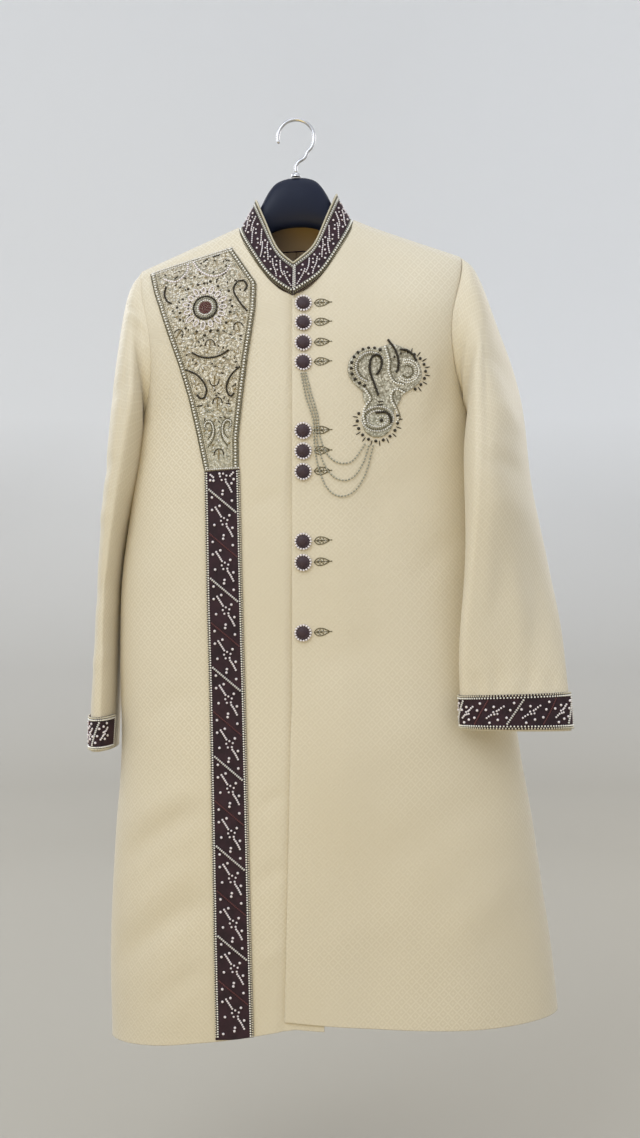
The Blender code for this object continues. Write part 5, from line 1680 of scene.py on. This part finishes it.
DARK_BEAD, SPIKE_WIDTH, SPIKE_HEIGHT, SPIKE_TUCK = 0.0045, 0.0016, 0.0014, 0.001
beads = Beadwork(on_paisley)
for path in DARK_CURVES:
    beads.row(path, 0.0022, (0.003, 0.0038, 0.0031), BRONZE, 0.0004)
for path in BEADED_CURVES:
    beads.row(path, 0.0032, (0.003, 0.0031, 0.0026), GLASS_BEAD)
    beads.beside(path, (0.003, 0.0008), 0.0024, (0.0024, 0.0016, 0.0016), OLIVE_THREAD)
for radius, size, look in HEAD_ROWS:
    beads.row(circle(HEAD, radius, HEAD_FROM, HEAD_TURN), 0.0028, size, look)
for radius, look in LOBE_ROWS:
    beads.row(circle(LOBE, radius, -2.6, 4.6), 0.0027, EDGE_BEAD, look)
for grow, size, look in FOOT_ROWS:
    oval = circle((0, 0), 1.0) * (FOOT_HALF_WIDE * grow, FOOT_HALF_TALL * grow) + FOOT
    beads.row(oval, 0.0028, size, look)
beads.dots(FOOT_EYE, 0.0052, BRONZE)
beads.dots(circle(FOOT_EYE, 0.0056, 0, TURN, 11)[:-1], 0.0024, GLASS_BEAD)
for path in FOOT_DASHES:
    beads.row(path, 0.002, (0.0024, 0.0018, 0.0018), BRONZE)
for beads_on, centre, radius, start, end, count, spike in FRINGES:
    beads.place = beads_on
    turns = np.radians(np.linspace(start, end, count))
    beads.dots(centre + rays(turns) * radius, DARK_BEAD, BRONZE)
    if spike:
        away = rays((turns[1:] + turns[:-1]) / 2)
        middle = centre + away * (radius + spike / 2 - SPIKE_TUCK)
        beads.lay(middle, away, (spike, SPIKE_WIDTH, SPIKE_HEIGHT), BRONZE)
beads.finish("paisley_beads", "silver_beads", "paisley_motif")

# %% [markdown]
# ## Buttons
# Each button is a burgundy dome with a ring of silver beads, and a stitched leaf points from it across the
# left front. The ten buttons stand in groups of four, three, two and one.

# %% Buttons
BUTTON_X = 0.0106
BUTTON_LEVELS = (-0.2607, -0.2862, -0.3127, -0.3383, -0.4268, -0.4528, -0.479, -0.568, -0.595, -0.6845)
DOME = [
    # radius, height
    (0.0, 0.0), (0.0094, 0.0), (0.0103, 0.0006), (0.0104, 0.0014), (0.0092, 0.0021), (0.0077, 0.0024),
    (0.0073, 0.0036), (0.006, 0.0047), (0.0034, 0.0056), (0.0, 0.0059),
]
RIM_BEADS, RIM_RADIUS, RIM_BEAD, RIM_HEIGHT = 17, 0.0098, 0.0016, 0.0021
BUTTON_CLOTH = finish_of("covered_button", (0.034, 0.013, 0.021), 0.60, Sheen_Weight=0.25)


def button(number, height):
    """One covered dome with its beads, turned to face out of the cloth."""
    seat, facing = on_left(np.array([[BUTTON_X, height]]), 2 * SEAM)
    bm = bmesh.new()
    spun(bm, DOME, 32)
    dome_faces = len(bm.faces)
    for x, y in circle((0, 0), RIM_RADIUS, 0.0, TURN, RIM_BEADS + 1)[:-1]:
        made = bmesh.ops.create_uvsphere(bm, u_segments=8, v_segments=5, radius=RIM_BEAD)["verts"]
        bmesh.ops.translate(bm, verts=made, vec=(x, y, RIM_HEIGHT))
    bm.faces.ensure_lookup_table()
    for face in bm.faces[dome_faces:]:
        face.material_index = 1
    turn = Vector(facing[0]).to_track_quat("Z", "Y").to_matrix()
    bmesh.ops.rotate(bm, verts=bm.verts, cent=(0, 0, 0), matrix=turn)
    bmesh.ops.translate(bm, verts=bm.verts, vec=Vector(seat[0]))
    made = object_of(f"button_{number}_dressed", bm, [BUTTON_CLOTH, PEARL])
    worn(made, "covered_button", f"button_{number}")


for number, height in enumerate(BUTTON_LEVELS, start=1):
    button(number, height)
print(len(BUTTON_LEVELS), "buttons")

# %% Leaves beside the buttons
LEAF_FROM = 0.0245
LEAF_THREADS = [
    # paths from the leaf's root, in metres
    [(0.0, 0.0), (0.0235, 0.0)],
    [(0.0, 0.0), (0.005, 0.0044), (0.012, 0.0042), (0.0195, 0.0008)],
    [(0.0, 0.0), (0.005, -0.0044), (0.012, -0.0042), (0.0195, -0.0008)],
    [(0.0035, 0.0), (0.0085, 0.0032)],
    [(0.0035, 0.0), (0.0085, -0.0032)],
    [(0.008, 0.0), (0.013, 0.0028)],
    [(0.008, 0.0), (0.013, -0.0028)],
]
LEAF_SEEDS = [(0.0062, 0.002), (0.0062, -0.002), (0.011, 0.0014), (0.015, -0.001)]
beads = Beadwork(on_left)
for height in BUTTON_LEVELS:
    root = np.array([LEAF_FROM, height])
    for path in LEAF_THREADS:
        beads.row(root + path, 0.0023, (0.0026, 0.0016, 0.0015), OLIVE_THREAD)
    beads.dots(root + LEAF_SEEDS, 0.0019, SILVER)
beads.finish("button_leaves", "silver_beads")

# %% [markdown]
# ## Chains
# Three chains of small round beads leave the placket beside the fourth button, fall past the next ones and
# swing up to the foot of the motif. Each hangs a little lower than the last.

# %% Chains
CHAIN_DIAMETER = 0.0024
CHAINS = {
    "chain_short": [
        (0.014, -0.3515), (0.0205, -0.378), (0.029, -0.408), (0.0305, -0.428), (0.0345, -0.444),
        (0.0405, -0.457), (0.048, -0.4655), (0.0565, -0.47), (0.0655, -0.471), (0.074, -0.468),
        (0.0825, -0.458), (0.09, -0.447),
    ],
    "chain_middle": [
        (0.011, -0.352), (0.0172, -0.38), (0.0261, -0.41), (0.0272, -0.43), (0.03, -0.45),
        (0.037, -0.47), (0.045, -0.483), (0.0555, -0.491), (0.067, -0.4925), (0.078, -0.486),
        (0.088, -0.47), (0.0955, -0.4475),
    ],
    "chain_long": [
        (0.008, -0.352), (0.0138, -0.382), (0.0232, -0.412), (0.0241, -0.432), (0.0262, -0.455),
        (0.0305, -0.476), (0.039, -0.498), (0.051, -0.5105), (0.065, -0.5125), (0.079, -0.504),
        (0.0915, -0.483), (0.101, -0.4475),
    ],
}
LINK_PITCH = 0.0021
LINKS = [
    # first one, length, width, look: round beads and small cream ones take turns
    (0, 0.0026, CHAIN_DIAMETER, GREY_BEAD),
    (1, 0.002, 0.0014, CREAM_BEAD),
]
CHAIN_OUT = CHAIN_DIAMETER / 2 + 2 * SEAM
for name, route in CHAINS.items():
    spots, directions = spaced(route, LINK_PITCH)
    path, _ = on_left(spots, CHAIN_OUT)
    beads = Beadwork(on_left)
    for first, length, wide, look in LINKS:
        base = CHAIN_OUT - 0.3 * wide
        beads.lay(spots[first::2], directions[first::2], (length, wide, wide), look, base)
    chain = beads.finish(name + "_beads", "silver_beads", name, template=ROUND_BEAD)
    length = float(running(path)[-1]) + LINK_PITCH
    route = [tuple(point) for point in path.tolist()]
    start = list(route[0])
    print(f"{name}: {length:.3f} m")

# %% [markdown]
# ## Hanger
# A broad moulded hanger in navy plastic, with a raised middle that shows in the neck, and a steel wire hook.

# %% Hanger body
HANGER = np.array([
    # x, top, bottom, half thickness
    (0.0, -0.076, -0.143, 0.012),
    (0.015, -0.0775, -0.144, 0.012),
    (0.03, -0.085, -0.148, 0.0115),
    (0.044, -0.106, -0.156, 0.0105),
    (0.054, -0.129, -0.165, 0.0105),
    (0.064, -0.142, -0.171, 0.011),
    (0.071, -0.1458, -0.175, 0.0115),
    (0.08, -0.1462, -0.179, 0.012),
    (0.11, -0.1562, -0.188, 0.012),
    (0.15, -0.1722, -0.202, 0.0125),
    (0.185, -0.1862, -0.213, 0.0115),
    (0.196, -0.1915, -0.215, 0.008),
])
HANGER_ENDS = [(0.194, 1.0), (0.1952, 0.93), (0.1958, 0.75), (0.196, 0.4), (0.196, 0.0)]
PLASTIC = finish_of("navy_plastic", (0.0085, 0.0125, 0.031), 0.42, Specular_IOR_Level=0.22)
STEEL = finish_of("hook_steel", (0.62, 0.62, 0.64), 0.22, Metallic=1.0)

middle = [(x, 1.0) for x in np.linspace(-0.192, 0.192, 129)]
stations = [(-x, grow) for x, grow in HANGER_ENDS[::-1]] + middle + HANGER_ENDS
turns = np.linspace(0, TURN, 33)
rings = []
for x, grow in stations:
    top, bottom, half = (column(HANGER, number, abs(x)) for number in (1, 2, 3))
    z = (top + bottom) / 2 + (top - bottom) / 2 * np.cos(turns) * grow
    rings.append(stacked(np.full(len(turns), x), half * np.sin(turns) * grow, z))
rings = hung(rings)


def from_hanger_line(at):
    """Outwards, seen from the middle of the hanger's section."""
    middle = (column(HANGER, 1, abs(at.x)) + column(HANGER, 2, abs(at.x))) / 2 + TILT * at.x
    return (0, at.y, at.z - middle)


hanger = mesh_of("hanger_body_dressed", rings, np.zeros(rings.shape[:2] + (2,)), [PLASTIC], from_hanger_line)
worn(hanger, "navy_plastic", "hanger_body")
print("hanger", round(2 * HANGER[-1, 0], 3), "m wide")

# %% Hook and ferrule
HOOK_WIRE, HOOK_BEND, HOOK_ARC = 0.0024, 0.022, (-50, 200)
FERRULE_TOP = -0.07
FERRULE_HEIGHT, FERRULE_RADII, FERRULE_BEVEL = 0.0052, (0.007, 0.005), 0.0006
HOOK_LEAD = [
    # x, z of the wire between the ferrule and the bend
    (0.0, -0.064), (0.0, -0.06), (0.0035, -0.0545), (0.0115, -0.049),
]
radius = HOOK_BEND + HOOK_WIRE
bend = radius * rays(np.radians(np.linspace(*HOOK_ARC, 16))) - (0, HOOK_BEND)
route = np.vstack([[(0.0, FERRULE_TOP + SEAM)], HOOK_LEAD, bend])
line = smooth_through(np.arange(len(route)), route, np.linspace(0, len(route) - 1, 161))
ahead = unit(np.gradient(line, axis=0))
grow = np.ones(len(line))
grow[:4] = (0.0, 0.6, 0.9, 1.0)
grow[-4:] = (1.0, 0.9, 0.6, 0.0)
turns = np.linspace(0, TURN, 17)[None, :, None]
flat = np.zeros(len(line))
side = stacked(ahead[:, 1], flat, -ahead[:, 0])[:, None]
middle = stacked(line[:, 0], flat, line[:, 1])
around = np.cos(turns) * side + np.sin(turns) * np.array([0.0, 1.0, 0.0])
wire = middle[:, None] + around * (HOOK_WIRE * grow)[:, None, None]


def from_wire(at, middle=middle):
    return at - Vector(middle[np.linalg.norm(middle - np.array(at), axis=1).argmin()])


hook = mesh_of("hanger_hook_dressed", wire, np.zeros(wire.shape[:2] + (2,)), [STEEL], from_wire)
worn(hook, "hook_steel", "hanger_hook")

bm = bmesh.new()
wide, narrow = FERRULE_RADII
bmesh.ops.create_cone(bm, cap_ends=True, segments=32, radius1=wide, radius2=narrow, depth=FERRULE_HEIGHT)
rims = [edge for edge in bm.edges if abs(edge.verts[0].co.z - edge.verts[1].co.z) < 1e-6]
bmesh.ops.bevel(bm, geom=rims, offset=FERRULE_BEVEL, segments=2, profile=0.5, affect="EDGES", material=-1)
bmesh.ops.translate(bm, verts=bm.verts, vec=(0, 0, FERRULE_TOP - FERRULE_HEIGHT / 2))
ferrule = object_of("hanger_ferrule_dressed", bm, [STEEL])
worn(ferrule, "hook_steel", "hanger_ferrule")
print("hook of", HOOK_WIRE * 2, "m wire")

# %% The size of the finished model
low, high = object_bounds()
